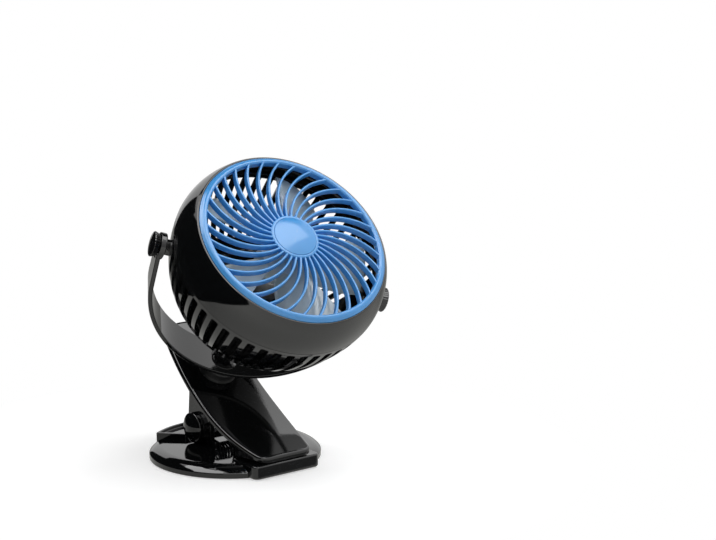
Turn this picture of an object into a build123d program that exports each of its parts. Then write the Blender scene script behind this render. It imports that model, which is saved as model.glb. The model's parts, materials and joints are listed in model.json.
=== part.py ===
from build123d import *
from math import asin, atan2, cos, degrees, pi, radians, sin, sqrt, tan
import os

# A clip fan: a round fan head hangs in a U-shaped yoke, the yoke swivels on a
# curved arm, and the arm is the upper jaw of a spring clip whose lower jaw is a
# round foot.  Millimetres, +Z up, the front of the fan faces -Y.  The origin is on
# the surface that the foot stands on, a little in front of the foot's centre.

# ---------------------------------------------------------------- foot (lower jaw)
foot_radius = 64.5
foot_front = 61.0            # origin to the straight front edge
foot_centre_y = 6.0
foot_rim = 4.2               # height of the upright edge
foot_bevel = 0.9
foot_shoulder_radius = 54.0  # where the rounded skirt meets the raised middle
foot_shoulder_height = 9.2
foot_crown = 9.8
foot_wall = 2.4
foot_corner = 5.0            # rounding of the two front corners
foot_skirt_swell = 0.72      # height of the skirt's middle, as a part of its rise
foot_rib = 2.0
foot_rib_x = 24.0
foot_core_radius = 9.0       # round stiffener under the middle of the foot
block_width = 58.6
block_back_y = -31.0         # rear end of the raised block under the arm's tip
sole_thickness = 1.8         # non-slip sheet under the foot
sole_proud = 0.6             # how far the sheet lifts the foot

# ---------------------------------------------------------------- arm (upper jaw)
arm_width = 61.0
arm_tip_width = arm_width - 16.4
arm_top_width = arm_width - 5.4
arm_widest_y = 5.0           # the arm narrows from here to its tip and to its top
arm_front_swell = 2.3        # how far the narrowing edges bulge past straight ones
arm_rear_swell = 0.5
arm_curve = 226.2            # radius of the concave upper face
arm_centre_y = -117.0
arm_centre_z = 234.9
arm_depth = 4.6              # skirt height, square to the upper face
arm_wall = 2.2
arm_tip_y = -foot_front
arm_top_y = 61.0
arm_tip_corner = 7.0         # rounding of the arm's front corners, seen from above
arm_top_corner = 16.0
arm_corner_slack = 0.5       # a corner's edge is as long as the arm is deep, give or take this

# ---------------------------------------------------------------- clip
hinge_y = 24.0
hinge_z = 21.5
hinge_pin_diameter = 5.0
barrel_diameter = 22.8
foot_lug_thickness = 4.0
foot_lug_inner = 14.0        # half the space between the foot's two lugs
heel_length = 8.0            # step in front of each foot lug
arm_lug_thickness = 4.6
lug_gap = 0.4
hinge_cap_dome = 4.4
hinge_cap_rim = 3.6
pad_thickness = 1.2
pad_length = 22.0
pad_width = 38.0
pad_recess = 0.6
pad_grooves = 5
pad_groove_width = 1.2
pad_groove_depth = 0.4
pad_corner = 2.0
pad_setback = 5.5            # front edge of the foot to the front of the pads
jaw_clearance = 0.4          # between the two pads when the clip is shut
jaw_plate_back = 3.0         # the plate runs on behind the pad by this
front_block_top = 10.6

# ---------------------------------------------------------------- clip spring
spring_wire = 1.8
spring_full_turns = 5
spring_gap_steps = 24        # points looked at in each turn when the gap is measured
spring_pitch = 2.6
spring_lower_leg = 19.0
spring_upper_leg = 30.2
spring_upper_rise = 72.0     # slope of the upper leg, up and back

# ---------------------------------------------------------------- finger rest
rest_height = 13.4
rest_corner_x = 39.5
rest_corner_y = 54.5
rest_back_y = 67.0
rest_neck_x = 24.0
rest_gap = 1.6               # hinge barrel to the front of the rest
rest_dish = 2.6
rest_rim = 2.0
rest_corner_round = 3.0

# ---------------------------------------------------------------- swivel and tilt
swivel_slope = 40.0          # lean of the swivel axis, back from upright
swivel_rest = -26.0          # the yoke's turn on the arm in the rest pose
tilt_rest = 8.3              # the head's turn in the yoke in the rest pose
pivot_y = -41.5
pivot_z = 145.3

# ---------------------------------------------------------------- head casing
band_back_radius = 79.0      # widest radius of the casing
band_back_z = 16.0
band_middle_radius = band_back_radius - 3.0
band_middle_z = 33.0
band_front_radius = band_back_radius - 7.7
ring_radius = band_front_radius - 1.3
ring_plane = 42.7            # pivot to the outer edge of the front ring
shell_wall = 2.4
bowl_middle_radius = band_back_radius - 6.5
bowl_middle_z = -13.5
bowl_back_radius = 53.0
bowl_back_z = -45.0
bowl_floor_z = -50.0
bowl_floor_radius = 46.0
bowl_edge_bulge = 0.62       # roundness of the edge between the side and the floor
slot_count = 50
slot_width = 6.0             # at the widest part of the bowl; it narrows with the radius
slot_front_z = 13.0
slot_back_z = -38.0
slot_round_share = 0.9       # rounding of a slot's ends, as a part of half its least width
slot_root = 8.0              # a slot starts this far outside the pod
lap_depth = 3.0              # the housing slides over the shell by this much
lap_clearance = 0.1
ledge_width = 3.0            # ledge inside the housing that the grille lands on
ledge_thickness = 1.0

# ---------------------------------------------------------------- yoke
yoke_inner = band_back_radius - 0.4  # inside radius of the round bottom
yoke_drop = 17.6             # pivot to the centre of the round bottom
yoke_lean = 9.5              # outward lean of the straight arms
yoke_thickness = 3.2
yoke_bottom_width = 30.0
yoke_eye_width = 18.0
yoke_waist = 12.4            # half width part-way up an arm
yoke_waist_height = 0.62     # and where, as a part of the yoke's drop
yoke_eye_inner = band_back_radius + 1.8  # face of the eye next to the head
yoke_eye_length = 4.2
yoke_eye_diameter = 19.0

# ---------------------------------------------------------------- swivel joint
boss_top_gap = 0.5
boss_diameter = 28.0
boss_foot_diameter = 30.0
boss_rim = 6.0               # straight part of the boss below its top
boss_chamfer = 1.0
swivel_pin_diameter = 6.0
swivel_head_diameter = 13.0
swivel_head_height = 2.4
swivel_seat_depth = 0.3      # flat seat for the pin's head, let into the arm's curved wall
swivel_cap_diameter = 17.0
swivel_cap_height = 3.0
swivel_cap_rim = 0.8
swivel_pin_reach = 1.5       # how far the pin goes up into the cap
yoke_seat_rise = 0.6         # flat seat inside the yoke's round bottom
yoke_seat_margin = 2.5
swivel_washer_thickness = 0.8
swivel_washer_diameter = 24.0

# ---------------------------------------------------------------- tilt pivots
pivot_pin_diameter = 5.0
pivot_pin_root = 9.0         # how far the stud and its boss reach into the bowl
pivot_pin_reach = 3.3        # how far the stud runs into the knob
pivot_boss_diameter = 11.5
pivot_boss_margin = 2.2      # solid wall left between a pivot boss and the next slot
washer_thickness = 0.5
washer_diameter = 11.5
knob_length = 5.2
knob_outer_diameter = 18.4
knob_inner_diameter = 16.0
knob_ribs = 24
knob_rib_depth = 0.25
knob_dome = 0.8
knob_chamfer = 0.6
knob_groove_radius = 0.9

# ---------------------------------------------------------------- front grille
spoke_count = 33
spoke_sweep = 31.0           # turn of a spoke from the hub to the ring
spoke_mid_turn = 13.3
spoke_mid_radius = 41.0
spoke_width = 1.6
spoke_depth = 4.6
spoke_top = 44.6
ring_inner_radius = ring_radius - 5.2
ring_top = 45.0
ring_skirt = 36.5
hub_radius = 18.0
hub_cap_radius = 15.8
hub_cap_rise = 1.6
hub_cap_groove = 0.8
hub_rise = 0.3               # hub's face above the fins
hub_wall = 2.0
hub_face = 1.6
hub_round = 0.8
ring_bevel = 0.9

# ---------------------------------------------------------------- impeller
blade_count = 5
blade_radius = ring_inner_radius - 1.3
blade_thickness = 1.5
blade_plane = 20.0           # middle of the blades along the fan axis
blade_edge = 0.6             # thickness of a blade's edge, as a part of its middle's
blade_root_chord = 20.0
blade_tip_chord = 44.0
blade_root_pitch = 42.0
blade_tip_pitch = 22.0
blade_tip_skew = 11.0        # how far the tip is swept sideways
blade_root_camber = 1.6
blade_mid_camber = 3.5
blade_swell = 1.45           # chords grow fastest near the root: power of the reach
impeller_hub_radius = 17.0
impeller_hub_back = 9.0
impeller_hub_front = 28.0
impeller_hub_dome = 5.0
impeller_hub_wall = 1.6
shaft_diameter = 3.0
shaft_boss_diameter = 7.0

# ---------------------------------------------------------------- motor
motor_diameter = 28.0
motor_front = 5.0
motor_back = -20.0
motor_wall = 1.2
motor_nose_diameter = 10.0
motor_nose_length = 2.0
motor_round = 1.5
motor_end_thickness = 2.4
bushing_diameter = 7.0
bushing_length = 3.6
rotor_diameter = 21.0
rotor_length = 14.0
rotor_poles = 3
magnet_thickness = 2.0
magnet_gap = 6.0             # between the two magnets' edges
rotor_slot = 2.0
rotor_window = 2.6

# ---------------------------------------------------------------- pod behind the motor
pod_radius = 38.0
pod_wall = 2.0
pod_front = -23.0
seat_height = 9.0
seat_wall = 2.0
seat_rib_length = 10.0
seat_rib = 2.0
seat_rib_count = 4
pod_round = 4.0
cover_lip = 0.6              # the lid stands out of the bowl's floor by this
rear_cover_radius = 43.0
rear_cover_thickness = 2.2
cover_round = 1.0
cell_diameter = 18.2
cell_length = 50.0
cell_y = 13.0
cell_cap = 1.0
cell_round = 0.8
board_length = 48.0
board_width = 22.0
board_thickness = 1.6
board_height = 5.6           # lid to board
board_post_radius = 2.0
chip_length = 8.0
chip_width = 6.0
chip_height = 2.2
board_y = -14.0
button_diameter = 11.0
button_travel = 1.0
button_proud = 1.6
button_clearance = 0.25
button_round = 0.7
button_stem_radius = 1.6
switch_width = 6.0
switch_height = 2.5
socket_width = 9.0
socket_height = 3.4
socket_wall = 0.6
socket_x = 12.0

screw_diameter = 3.0
screw_head_diameter = 5.6
screw_head_height = 2.0
cover_head_height = 1.6
cover_screw_reach = 8.8
screw_slot_width = 0.7
screw_slot_depth = 0.7
bracket_thickness = 2.4
bracket_front = 30.0         # reach of the bracket in front of the hinge
bracket_back = 16.0          # and behind it
bracket_cheek_back = 6.0     # reach of a lug's cheeks behind the hinge, at the arm
bracket_eye_rise = 4.0       # hinge axis to where a lug's cheeks leave its round end
bracket_screw_x = 9.0
bracket_screw_front = 24.0
bracket_screw_back = 10.0
bracket_screw_reach = 4.0    # through the bracket's plate and into the arm
running_gap = 0.05           # radial clearance of a pin that turns in its hole
seat_gap = 0.3               # between pieces that meet without touching
face_gap = 0.05              # between two faces screwed onto each other
pocket_gap = 0.1             # round a pad or a sheet in its recess
cut_reach = 60.0             # how far a cutter runs past what it cuts
same_length = 0.01           # edges this close in length count as equal

# ---------------------------------------------------------------- frames
arm_at = Pos(0, pivot_y, pivot_z) * Rot(X=swivel_slope)
yoke_at = arm_at * Rot(Z=swivel_rest)
head_at = yoke_at * Rot(X=tilt_rest)
yoke_bottom = yoke_drop + yoke_inner + yoke_thickness


def arm_angle(y, radius=arm_curve):
    """Slope of the arm's arc where it passes over y."""
    return degrees(asin((y - arm_centre_y) / radius))


def arm_point(angle, radius=arm_curve):
    """Point of an arc round the arm's centre, as (y, z)."""
    return (
        arm_centre_y + radius * sin(radians(angle)),
        arm_centre_z - radius * cos(radians(angle)),
    )


def arm_band(inner, outer, start, stop, width):
    """Solid between two arcs of the arm's curve, as wide as given along X."""
    middle = (start + stop) / 2
    outline = [
        ThreePointArc(arm_point(start, inner), arm_point(middle, inner), arm_point(stop, inner)),
        Line(arm_point(stop, inner), arm_point(stop, outer)),
        ThreePointArc(arm_point(stop, outer), arm_point(middle, outer), arm_point(start, outer)),
        Line(arm_point(start, outer), arm_point(start, inner)),
    ]
    return extrude(Plane.YZ * make_face(outline), width / 2, both=True)


def x_cylinder(radius, x_from, x_to, y=hinge_y, z=hinge_z):
    """Cylinder along X between two places."""
    length = x_to - x_from
    middle = (x_from + x_to) / 2
    return Pos(middle, y, z) * Rot(Y=90) * Cylinder(radius, length)


def side_cylinder(radius, side, start, stop):
    """Cylinder on the X axis, out from the middle on the left or on the right."""
    return x_cylinder(radius, *sorted((side * start, side * stop)), 0, 0)


def z_cylinder(radius, z_from, z_to, x=0.0, y=0.0):
    """Cylinder along Z between two heights."""
    return Pos(x, y, (z_from + z_to) / 2) * Cylinder(radius, z_to - z_from)


def z_tube(outer, inner, z_from, z_to):
    """Tube along Z between two heights."""
    return z_cylinder(outer, z_from, z_to) - z_cylinder(inner, z_from - 1, z_to + 1)


def dome(radius, base, rise):
    """Arc of a ball in the X-Z plane, from the rim up to the axis."""
    ball = (radius ** 2 + rise ** 2) / (2 * rise)
    half_turn = asin(radius / ball) / 2
    middle = (ball * sin(half_turn), base + rise - ball + ball * cos(half_turn))
    return ThreePointArc((radius, base), middle, (0, base + rise))


def domed_disc(radius, base, edge, rise):
    """Disc with a flat underside, an upright edge and a domed top."""
    outline = [
        Line((0, base), (radius, base)),
        Line((radius, base), (radius, edge)),
        dome(radius, edge, rise),
        Line((0, edge + rise), (0, base)),
    ]
    return revolve(Plane.XZ * make_face(outline), Axis.Z)


def spun(points):
    """Revolve a closed polygon of (radius, z) points round Z."""
    return revolve(Plane.XZ * make_face(Polyline(*points, close=True)), Axis.Z)


# ================================================================ foot
def foot_blank(inset=0.0):
    """Low round dome with a straight front, optionally inset for hollowing."""
    radius = foot_radius - inset
    rim = foot_rim - inset / 2
    shoulder = foot_shoulder_height - inset
    crown = foot_crown - inset
    slope_mid_radius = (radius + foot_shoulder_radius) / 2
    slope_mid_z = rim + foot_bevel + (shoulder - rim - foot_bevel) * foot_skirt_swell
    outline = [
        Line((0, 0), (radius, 0)),
        Line((radius, 0), (radius, rim)),
        Line((radius, rim), (radius - foot_bevel, rim + foot_bevel)),
        ThreePointArc(
            (radius - foot_bevel, rim + foot_bevel),
            (slope_mid_radius, slope_mid_z),
            (foot_shoulder_radius, shoulder),
        ),
        Line((foot_shoulder_radius, shoulder), (0, crown)),
        Line((0, crown), (0, 0)),
    ]
    disc = Pos(0, foot_centre_y, 0) * revolve(Plane.XZ * make_face(outline), Axis.Z)
    return disc & (Pos(0, foot_middle_y(inset), 0) * Box(4 * foot_radius, 4 * foot_radius, 4 * foot_crown))


def foot_middle_y(inset):
    """Middle of the square of space behind the foot's straight front edge."""
    return 2 * foot_radius - foot_front + inset


def front_block(inset=0.0):
    """Upright block under the arm's tip, with rounded front corners."""
    half = block_width / 2 - inset
    top = front_block_top - inset
    front = -foot_front + inset
    back = block_back_y
    plan = Pos(0, (front + back) / 2) * Rectangle(2 * half, back - front)
    block = extrude(plan, top)
    corners = block.edges().filter_by(Axis.Z).group_by(Axis.Y)[0]
    return fillet(corners, foot_corner - inset)


def rest_front():
    return hinge_y + barrel_diameter / 2 + rest_gap


def rest_outline(inset=0.0):
    """Plan of the finger rest: narrow at the hinge, wide and round at the back."""
    flare = atan2(rest_corner_y - rest_front(), rest_corner_x - rest_neck_x)
    inward = inset / sin(flare)
    right = (rest_corner_x - inward, rest_corner_y - inset / 2)
    neck = (rest_neck_x - inward, rest_front() + inset)
    left = (-right[0], right[1])
    outline = [
        Line((-neck[0], neck[1]), neck),
        Line(neck, right),
        ThreePointArc(right, (0, rest_back_y - inset), left),
        Line(left, (-neck[0], neck[1])),
    ]
    return make_face(outline)


def finger_rest():
    """Raised tab behind the hinge, dished for a finger."""
    tab = extrude(rest_outline(), rest_height)
    tab = fillet(tab.edges().filter_by(Axis.Z).group_by(Axis.Y)[-1], rest_corner_round)
    dish_floor = rest_height - rest_dish
    dish = Pos(0, 0, dish_floor) * extrude(rest_outline(rest_rim), rest_dish + 1)
    return tab - dish


def foot_lug(side):
    """One lug of the foot, rising to the hinge pin."""
    inner = foot_lug_inner
    x_middle = side * (inner + foot_lug_thickness / 2)
    half = barrel_diameter / 2
    web = Pos(x_middle, hinge_y, hinge_z / 2) * Box(foot_lug_thickness, barrel_diameter, hinge_z)
    eye = x_cylinder(half, x_middle - foot_lug_thickness / 2, x_middle + foot_lug_thickness / 2)
    heel_y = hinge_y - half - heel_length / 2 + 1.0
    heel = Pos(x_middle, heel_y, foot_crown) * Box(foot_lug_thickness, heel_length, heel_length)
    return web + eye + heel


def pad_pocket(top):
    """Recess for a jaw pad, cut both ways from the given height."""
    room = Box(pad_width + 2 * pocket_gap, pad_length + 2 * pocket_gap, 2 * pad_recess)
    return Pos(0, pad_middle_y(), top) * room


def pad_middle_y():
    return -foot_front + pad_setback + pad_length / 2


def make_foot():
    """Moulded foot: hollow underneath, with ribs, lugs and a finger rest."""
    outside = foot_blank() + front_block() + finger_rest()
    for side in (-1, 1):
        outside += foot_lug(side)
    outside -= x_cylinder(hinge_pin_diameter / 2, -arm_width, arm_width)
    outside -= pad_pocket(front_block_top)
    outside -= foot_blank(foot_wall) - foot_ribs()
    outside -= Box(4 * foot_radius, 4 * foot_radius, 2 * sole_proud)
    return outside - sole_sheet(pocket_gap)


def foot_ribs():
    """Cross of stiffening ribs inside the foot."""
    rib = Box(2 * foot_radius, foot_rib, 4 * foot_crown)
    upright = Rot(Z=90) * rib
    ribs = rib + upright
    for x in (-foot_rib_x, foot_rib_x):
        ribs += Pos(x, 0, 0) * upright
    ribs += z_cylinder(foot_core_radius, -2 * foot_crown, 2 * foot_crown)
    return Pos(0, foot_centre_y, 0) * ribs


def sole_sheet(margin=0.0):
    """Sheet under the foot, or with a margin the recess that holds it."""
    inset = foot_wall - margin
    plan = Pos(0, foot_centre_y) * Circle(foot_radius - inset)
    keep = Pos(0, foot_middle_y(inset)) * Rectangle(4 * foot_radius, 4 * foot_radius)
    return extrude(plan & keep, sole_thickness)


def make_foot_pad():
    """Soft non-slip sheet let into the foot's underside."""
    return sole_sheet()


def grooved_pad():
    """Rubber jaw pad, its working face up at z = 0, with cross grooves."""
    pad = Pos(0, 0, -pad_thickness / 2) * Box(pad_width, pad_length, pad_thickness)
    pad = fillet(pad.edges().filter_by(Axis.Z), pad_corner)
    spacing = pad_length / (pad_grooves + 1)
    for index in range(pad_grooves):
        y = -pad_length / 2 + spacing * (index + 1)
        pad -= Pos(0, y, 0) * Box(2 * pad_width, pad_groove_width, 2 * pad_groove_depth)
    return pad


def lower_pad_top():
    return front_block_top - pad_recess + pad_thickness


def make_lower_pad():
    return Pos(0, pad_middle_y(), lower_pad_top()) * grooved_pad()


# ================================================================ arm
def make_arm():
    """Curved arm: a thin face with a skirt round it and a boss for the swivel."""
    start = arm_angle(arm_tip_y)
    stop = arm_angle(arm_top_y)
    blank = arm_band(arm_curve, arm_curve + arm_depth, start, stop, arm_width) & arm_column(0)
    blank = round_arm_corners(blank, arm_depth, 0)
    margin = degrees(arm_wall / arm_curve)
    inside = arm_band(
        arm_curve + arm_wall,
        arm_curve + 2 * arm_depth,
        start + margin,
        stop - margin,
        arm_width - 2 * arm_wall,
    )
    inside &= arm_column(arm_wall)
    inside = round_arm_corners(inside, 2 * arm_depth - arm_wall, arm_wall)
    shell = blank - inside
    shell += arm_boss()
    pin_hole = z_cylinder(swivel_pin_diameter / 2 + running_gap, -3 * yoke_bottom, 0)
    shell -= arm_at * pin_hole
    head_room = z_cylinder(swivel_head_diameter / 2 + seat_gap, -3 * yoke_bottom, -arm_floor_drop())
    shell -= arm_at * head_room
    for x, y in bracket_screw_places():
        shell -= bracket_screw_at(x, y) * z_cylinder(screw_diameter / 2, 0, bracket_screw_reach)
    return shell


def arm_floor_drop():
    """Distance from the pivot, along the swivel axis, to the boss's inner floor."""
    return arm_face_drop() + arm_wall - swivel_seat_depth


def arm_face_drop():
    """Distance from the pivot, along the swivel axis, to the arm's upper face."""
    offset_y = pivot_y - arm_centre_y
    offset_z = pivot_z - arm_centre_z
    along_y = sin(radians(swivel_slope))
    along_z = -cos(radians(swivel_slope))
    half_b = offset_y * along_y + offset_z * along_z
    c = offset_y ** 2 + offset_z ** 2 - arm_curve ** 2
    return -half_b + sqrt(half_b ** 2 - c)


def arm_column(inset):
    """Upright column on the arm's plan: a leaf that is widest above the hinge."""
    tip_x = arm_tip_width / 2 - inset
    full_x = arm_width / 2 - inset
    top_x = arm_top_width / 2 - inset
    front_middle = ((tip_x + full_x) / 2 + arm_front_swell, (arm_tip_y + arm_widest_y) / 2)
    rear_middle = ((top_x + full_x) / 2 + arm_rear_swell, (arm_top_y + arm_widest_y) / 2)
    front_y = arm_tip_y - arm_width
    back_y = arm_top_y + arm_width
    outline = [Line((-tip_x, front_y), (tip_x, front_y)), Line((-top_x, back_y), (top_x, back_y))]
    for side in (-1, 1):
        tip = (side * tip_x, arm_tip_y)
        full = (side * full_x, arm_widest_y)
        top = (side * top_x, arm_top_y)
        outline.append(Line((side * tip_x, front_y), tip))
        outline.append(ThreePointArc(tip, (side * front_middle[0], front_middle[1]), full))
        outline.append(ThreePointArc(full, (side * rear_middle[0], rear_middle[1]), top))
        outline.append(Line(top, (side * top_x, back_y)))
    return extrude(make_face(outline), 2 * arm_width, both=True)


def round_arm_corners(blank, depth, inset):
    """Round the four corners of the arm, seen square to its face."""
    for place, radius in ((slice(0, 2), arm_tip_corner), (slice(-2, None), arm_top_corner)):
        upright = blank.edges().filter_by(lambda edge: abs(edge.length - depth) < arm_corner_slack)
        blank = fillet(upright.sort_by(Axis.Y)[place], radius - inset)
    return blank


def under_arm():
    """The space below the arm's thin face."""
    return arm_band(
        arm_curve + arm_wall,
        arm_curve + 4 * boss_diameter,
        arm_angle(arm_tip_y - arm_depth),
        arm_angle(arm_top_y + arm_depth),
        2 * arm_width,
    )


def arm_boss():
    """Flared round boss between the arm's face and the yoke."""
    top = -(yoke_bottom + boss_top_gap + swivel_washer_thickness)
    floor = -(arm_face_drop() + 2 * arm_wall)
    outline = [
        (0, top),
        (boss_diameter / 2 - boss_chamfer, top),
        (boss_diameter / 2, top - boss_chamfer),
        (boss_diameter / 2, top - boss_rim),
        (boss_foot_diameter / 2, -arm_face_drop() - boss_chamfer),
        (boss_foot_diameter / 2, floor),
        (0, floor),
    ]
    return arm_at * spun(outline) - under_arm()


def arm_lug(side):
    """One lug of the bracket under the arm, with a round end at the hinge."""
    inner = foot_lug_inner + foot_lug_thickness + lug_gap
    x_middle = side * (inner + arm_lug_thickness / 2)
    radius = barrel_diameter / 2
    outer = arm_curve + arm_wall + face_gap
    start = bracket_angles()[0]
    stop = arm_angle(hinge_y + bracket_cheek_back)
    low = arm_point(start, outer)
    high = arm_point(stop, outer)
    middle = arm_point((start + stop) / 2, outer)
    half = sqrt(radius ** 2 - bracket_eye_rise ** 2)
    cheek_z = hinge_z + bracket_eye_rise
    outline = [
        ThreePointArc(low, middle, high),
        Line(high, (hinge_y + half, cheek_z)),
        Line((hinge_y + half, cheek_z), (hinge_y, hinge_z)),
        Line((hinge_y, hinge_z), (hinge_y - half, cheek_z)),
        Line((hinge_y - half, cheek_z), low),
    ]
    plate = extrude(Plane.YZ * make_face(outline), arm_lug_thickness / 2, both=True)
    eye = Pos(0, hinge_y, hinge_z) * Rot(Y=90) * Cylinder(radius, arm_lug_thickness)
    return Pos(x_middle, 0, 0) * (plate + eye)


def bracket_angles():
    """Where the bracket starts and stops on the arm's arc."""
    return arm_angle(hinge_y - bracket_front), arm_angle(hinge_y + bracket_back)


def make_arm_bracket():
    """Bracket under the arm: two lugs joined by a curved back plate."""
    outer = arm_curve + arm_wall
    start, stop = bracket_angles()
    plate = arm_band(outer + face_gap, outer + bracket_thickness, start, stop, 2 * barrel_half_length())
    bracket = plate + arm_lug(-1) + arm_lug(1)
    bracket -= x_cylinder(hinge_pin_diameter / 2 + running_gap, -arm_width, arm_width)
    bracket -= arm_at * z_cylinder(swivel_head_diameter / 2 + 2 * seat_gap, -3 * yoke_bottom, 0)
    for x, y in bracket_screw_places():
        bracket -= bracket_screw_at(x, y) * z_cylinder(screw_diameter / 2, -cut_reach, cut_reach)
    return bracket


def bracket_screw_places():
    rows = (hinge_y - bracket_screw_front, hinge_y + bracket_screw_back)
    return [(x, y) for y in rows for x in (-bracket_screw_x, bracket_screw_x)]


def bracket_screw_at(x, y):
    """Place on the bracket's inner face, with Z square to the arm and upward."""
    angle = arm_angle(y)
    point = arm_point(angle, arm_curve + arm_wall + bracket_thickness)
    return Pos(x, point[0], point[1]) * Rot(X=angle)


def make_bracket_screws():
    """Four screws that hold the bracket to the arm."""
    screws = []
    for x, y in bracket_screw_places():
        head = z_cylinder(screw_head_diameter / 2, -screw_head_height, 0)
        shank = z_cylinder(screw_diameter / 2, 0, bracket_screw_reach)
        screws.append(bracket_screw_at(x, y) * (head + shank))
    return Compound(children=screws)


def upper_pad_place():
    """Underside of the arm over the lower pad."""
    return Pos(0, pad_middle_y(), lower_pad_top() + jaw_clearance)


def make_upper_pad():
    """Upper jaw pad, its grooved face down."""
    return upper_pad_place() * Rot(X=180) * grooved_pad()


def make_jaw_plate():
    """Carrier inside the arm's tip that holds the upper pad level."""
    bottom = lower_pad_top() + jaw_clearance + pad_thickness - pad_recess
    tip_wall = arm_angle(arm_tip_y) + degrees(arm_wall / arm_curve)
    front = arm_point(tip_wall, arm_curve + arm_depth)[0] + seat_gap
    back = pad_middle_y() + pad_length / 2 + jaw_plate_back
    block = Pos(0, (front + back) / 2, bottom + cut_reach / 2) * Box(arm_width, back - front, cut_reach)
    block &= arm_column(arm_wall + seat_gap)
    block = fillet(block.edges().filter_by(Axis.Z).group_by(Axis.Y)[0], arm_tip_corner - arm_wall)
    block -= arm_band(
        arm_curve - cut_reach,
        arm_curve + arm_wall + face_gap,
        arm_angle(front - 2 * arm_depth),
        arm_angle(back + cut_reach),
        2 * arm_width,
    )
    return block - pad_pocket(bottom)


# ================================================================ hinge
def barrel_half_length():
    return foot_lug_inner + foot_lug_thickness + lug_gap + arm_lug_thickness


def make_hinge_pin():
    half = barrel_half_length() + hinge_cap_rim
    return x_cylinder(hinge_pin_diameter / 2, -half, half)


def make_hinge_cap(side):
    """Round cap with a domed face over one end of the hinge."""
    cap = domed_disc(barrel_diameter / 2, 0, hinge_cap_rim, hinge_cap_dome)
    cap -= z_cylinder(hinge_pin_diameter / 2, -1, hinge_cap_rim - seat_gap)
    place = Pos(side * (barrel_half_length() + seat_gap), hinge_y, hinge_z)
    return place * Rot(Y=side * 90) * cap


def make_spring():
    """Torsion spring: a close coil round the pin with a leg to each jaw."""
    wire = spring_path()
    section = Plane(origin=wire @ 0, z_dir=wire % 0) * Circle(spring_wire / 2)
    print("clip spring: least gap between its turns %.2f mm" % spring_gap())
    return sweep(section, wire)


def spring_coil_radius():
    """The coil is as wide as lets the lower leg lie on the finger rest."""
    return hinge_z - rest_height - spring_wire / 2 - seat_gap


def spring_turns():
    """Turns between the lower leg and the upper one, going over the front."""
    return spring_full_turns + (180 - spring_upper_rise) / 360


def spring_angle(turn):
    return radians(-90) - turn * 2 * pi


def spring_point(turn):
    """Point of the coil after so many turns; the coil is centred on the pin."""
    angle = spring_angle(turn)
    radius = spring_coil_radius()
    x = (turn - spring_turns() / 2) * spring_pitch
    return Vector(x, hinge_y + radius * cos(angle), hinge_z + radius * sin(angle))


def spring_tangent(turn):
    """Direction of the wire at a point of the coil."""
    angle = spring_angle(turn)
    rise = spring_pitch / (2 * pi * spring_coil_radius())
    return Vector(rise, sin(angle), -cos(angle)).normalized()


def spring_gap():
    """Least distance between the wire's surface and its own next turns."""
    steps = spring_gap_steps
    count = int(spring_turns() * steps)
    points = [spring_point(index / steps) for index in range(count + 1)]
    least = 2 * spring_lower_leg
    for first in range(len(points)):
        for second in range(first + steps // 2, len(points)):
            least = min(least, (points[first] - points[second]).length)
    return least - spring_wire


def spring_path():
    """Leg, coil of biarcs of a quarter turn each, leg, joined end to end."""
    turns = spring_turns()
    pieces = round(4 * turns)
    step = turns / pieces
    start = spring_point(0)
    end = spring_point(turns)
    edges = [Line(start - spring_tangent(0) * spring_lower_leg, start)]
    for index in range(pieces):
        edges += biarc(index * step, (index + 1) * step)
    edges.append(Line(end, end + spring_tangent(turns) * spring_upper_leg))
    return Wire(edges)


def biarc(start, stop):
    """Two arcs that follow the coil between two turns, tangent at both ends."""
    first = spring_point(start)
    last = spring_point(stop)
    out = spring_tangent(start)
    arrive = spring_tangent(stop)
    chord = last - first
    # Equal tangent lengths d solve |chord - d (out + arrive)| = 2 d.
    total = out + arrive
    a = total.dot(total) - 4
    b = -2 * chord.dot(total)
    c = chord.dot(chord)
    reach = (-b - sqrt(b * b - 4 * a * c)) / (2 * a)
    middle = (first + out * reach + last - arrive * reach) * 0.5
    across = (last - arrive * reach - first - out * reach).normalized()
    return [Edge.make_tangent_arc(first, out, middle), Edge.make_tangent_arc(middle, across, last)]


# ================================================================ yoke
def yoke_outline(radius):
    """Half of the U as curves in the X-Z plane: bottom centre to the arm's end."""
    lean = radians(yoke_lean)
    tangent = (radius * cos(lean), -yoke_drop - radius * sin(lean))
    low = (0, -yoke_drop - radius)
    middle_angle = (radians(90) + lean) / 2
    middle = (radius * cos(middle_angle), -yoke_drop - radius * sin(middle_angle))
    top = (tangent[0] - tangent[1] * tan(lean), 0.0)
    return low, middle, tangent, top


def yoke_strip():
    """The bent strip, extruded wide; its taper is cut afterwards."""
    outer = yoke_outline(yoke_inner + yoke_thickness)
    inner = yoke_outline(yoke_inner)
    edges = []
    for side in (-1, 1):
        for low, middle, tangent, top in (outer, inner):
            flip = [(side * point[0], point[1]) for point in (low, middle, tangent, top)]
            edges.append(ThreePointArc(flip[0], flip[1], flip[2]))
            edges.append(Line(flip[2], flip[3]))
        edges.append(Line((side * outer[3][0], outer[3][1]), (side * inner[3][0], inner[3][1])))
    return extrude(Plane.XZ * make_face(edges), yoke_bottom_width / 2, both=True)


def yoke_taper():
    """Side view of the yoke: wide at the bottom, narrow at the eyes."""
    low = -yoke_bottom - 1
    wide = yoke_bottom_width / 2
    narrow = yoke_eye_width / 2
    edges = [
        Line((-wide, low), (wide, low)),
        ThreePointArc((wide, low), (yoke_waist, low * yoke_waist_height), (narrow, 0)),
        Line((narrow, 0), (-narrow, 0)),
        ThreePointArc((-narrow, 0), (-yoke_waist, low * yoke_waist_height), (-wide, low)),
    ]
    return extrude(Plane.YZ * make_face(edges), 2 * yoke_inner, both=True)


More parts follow.
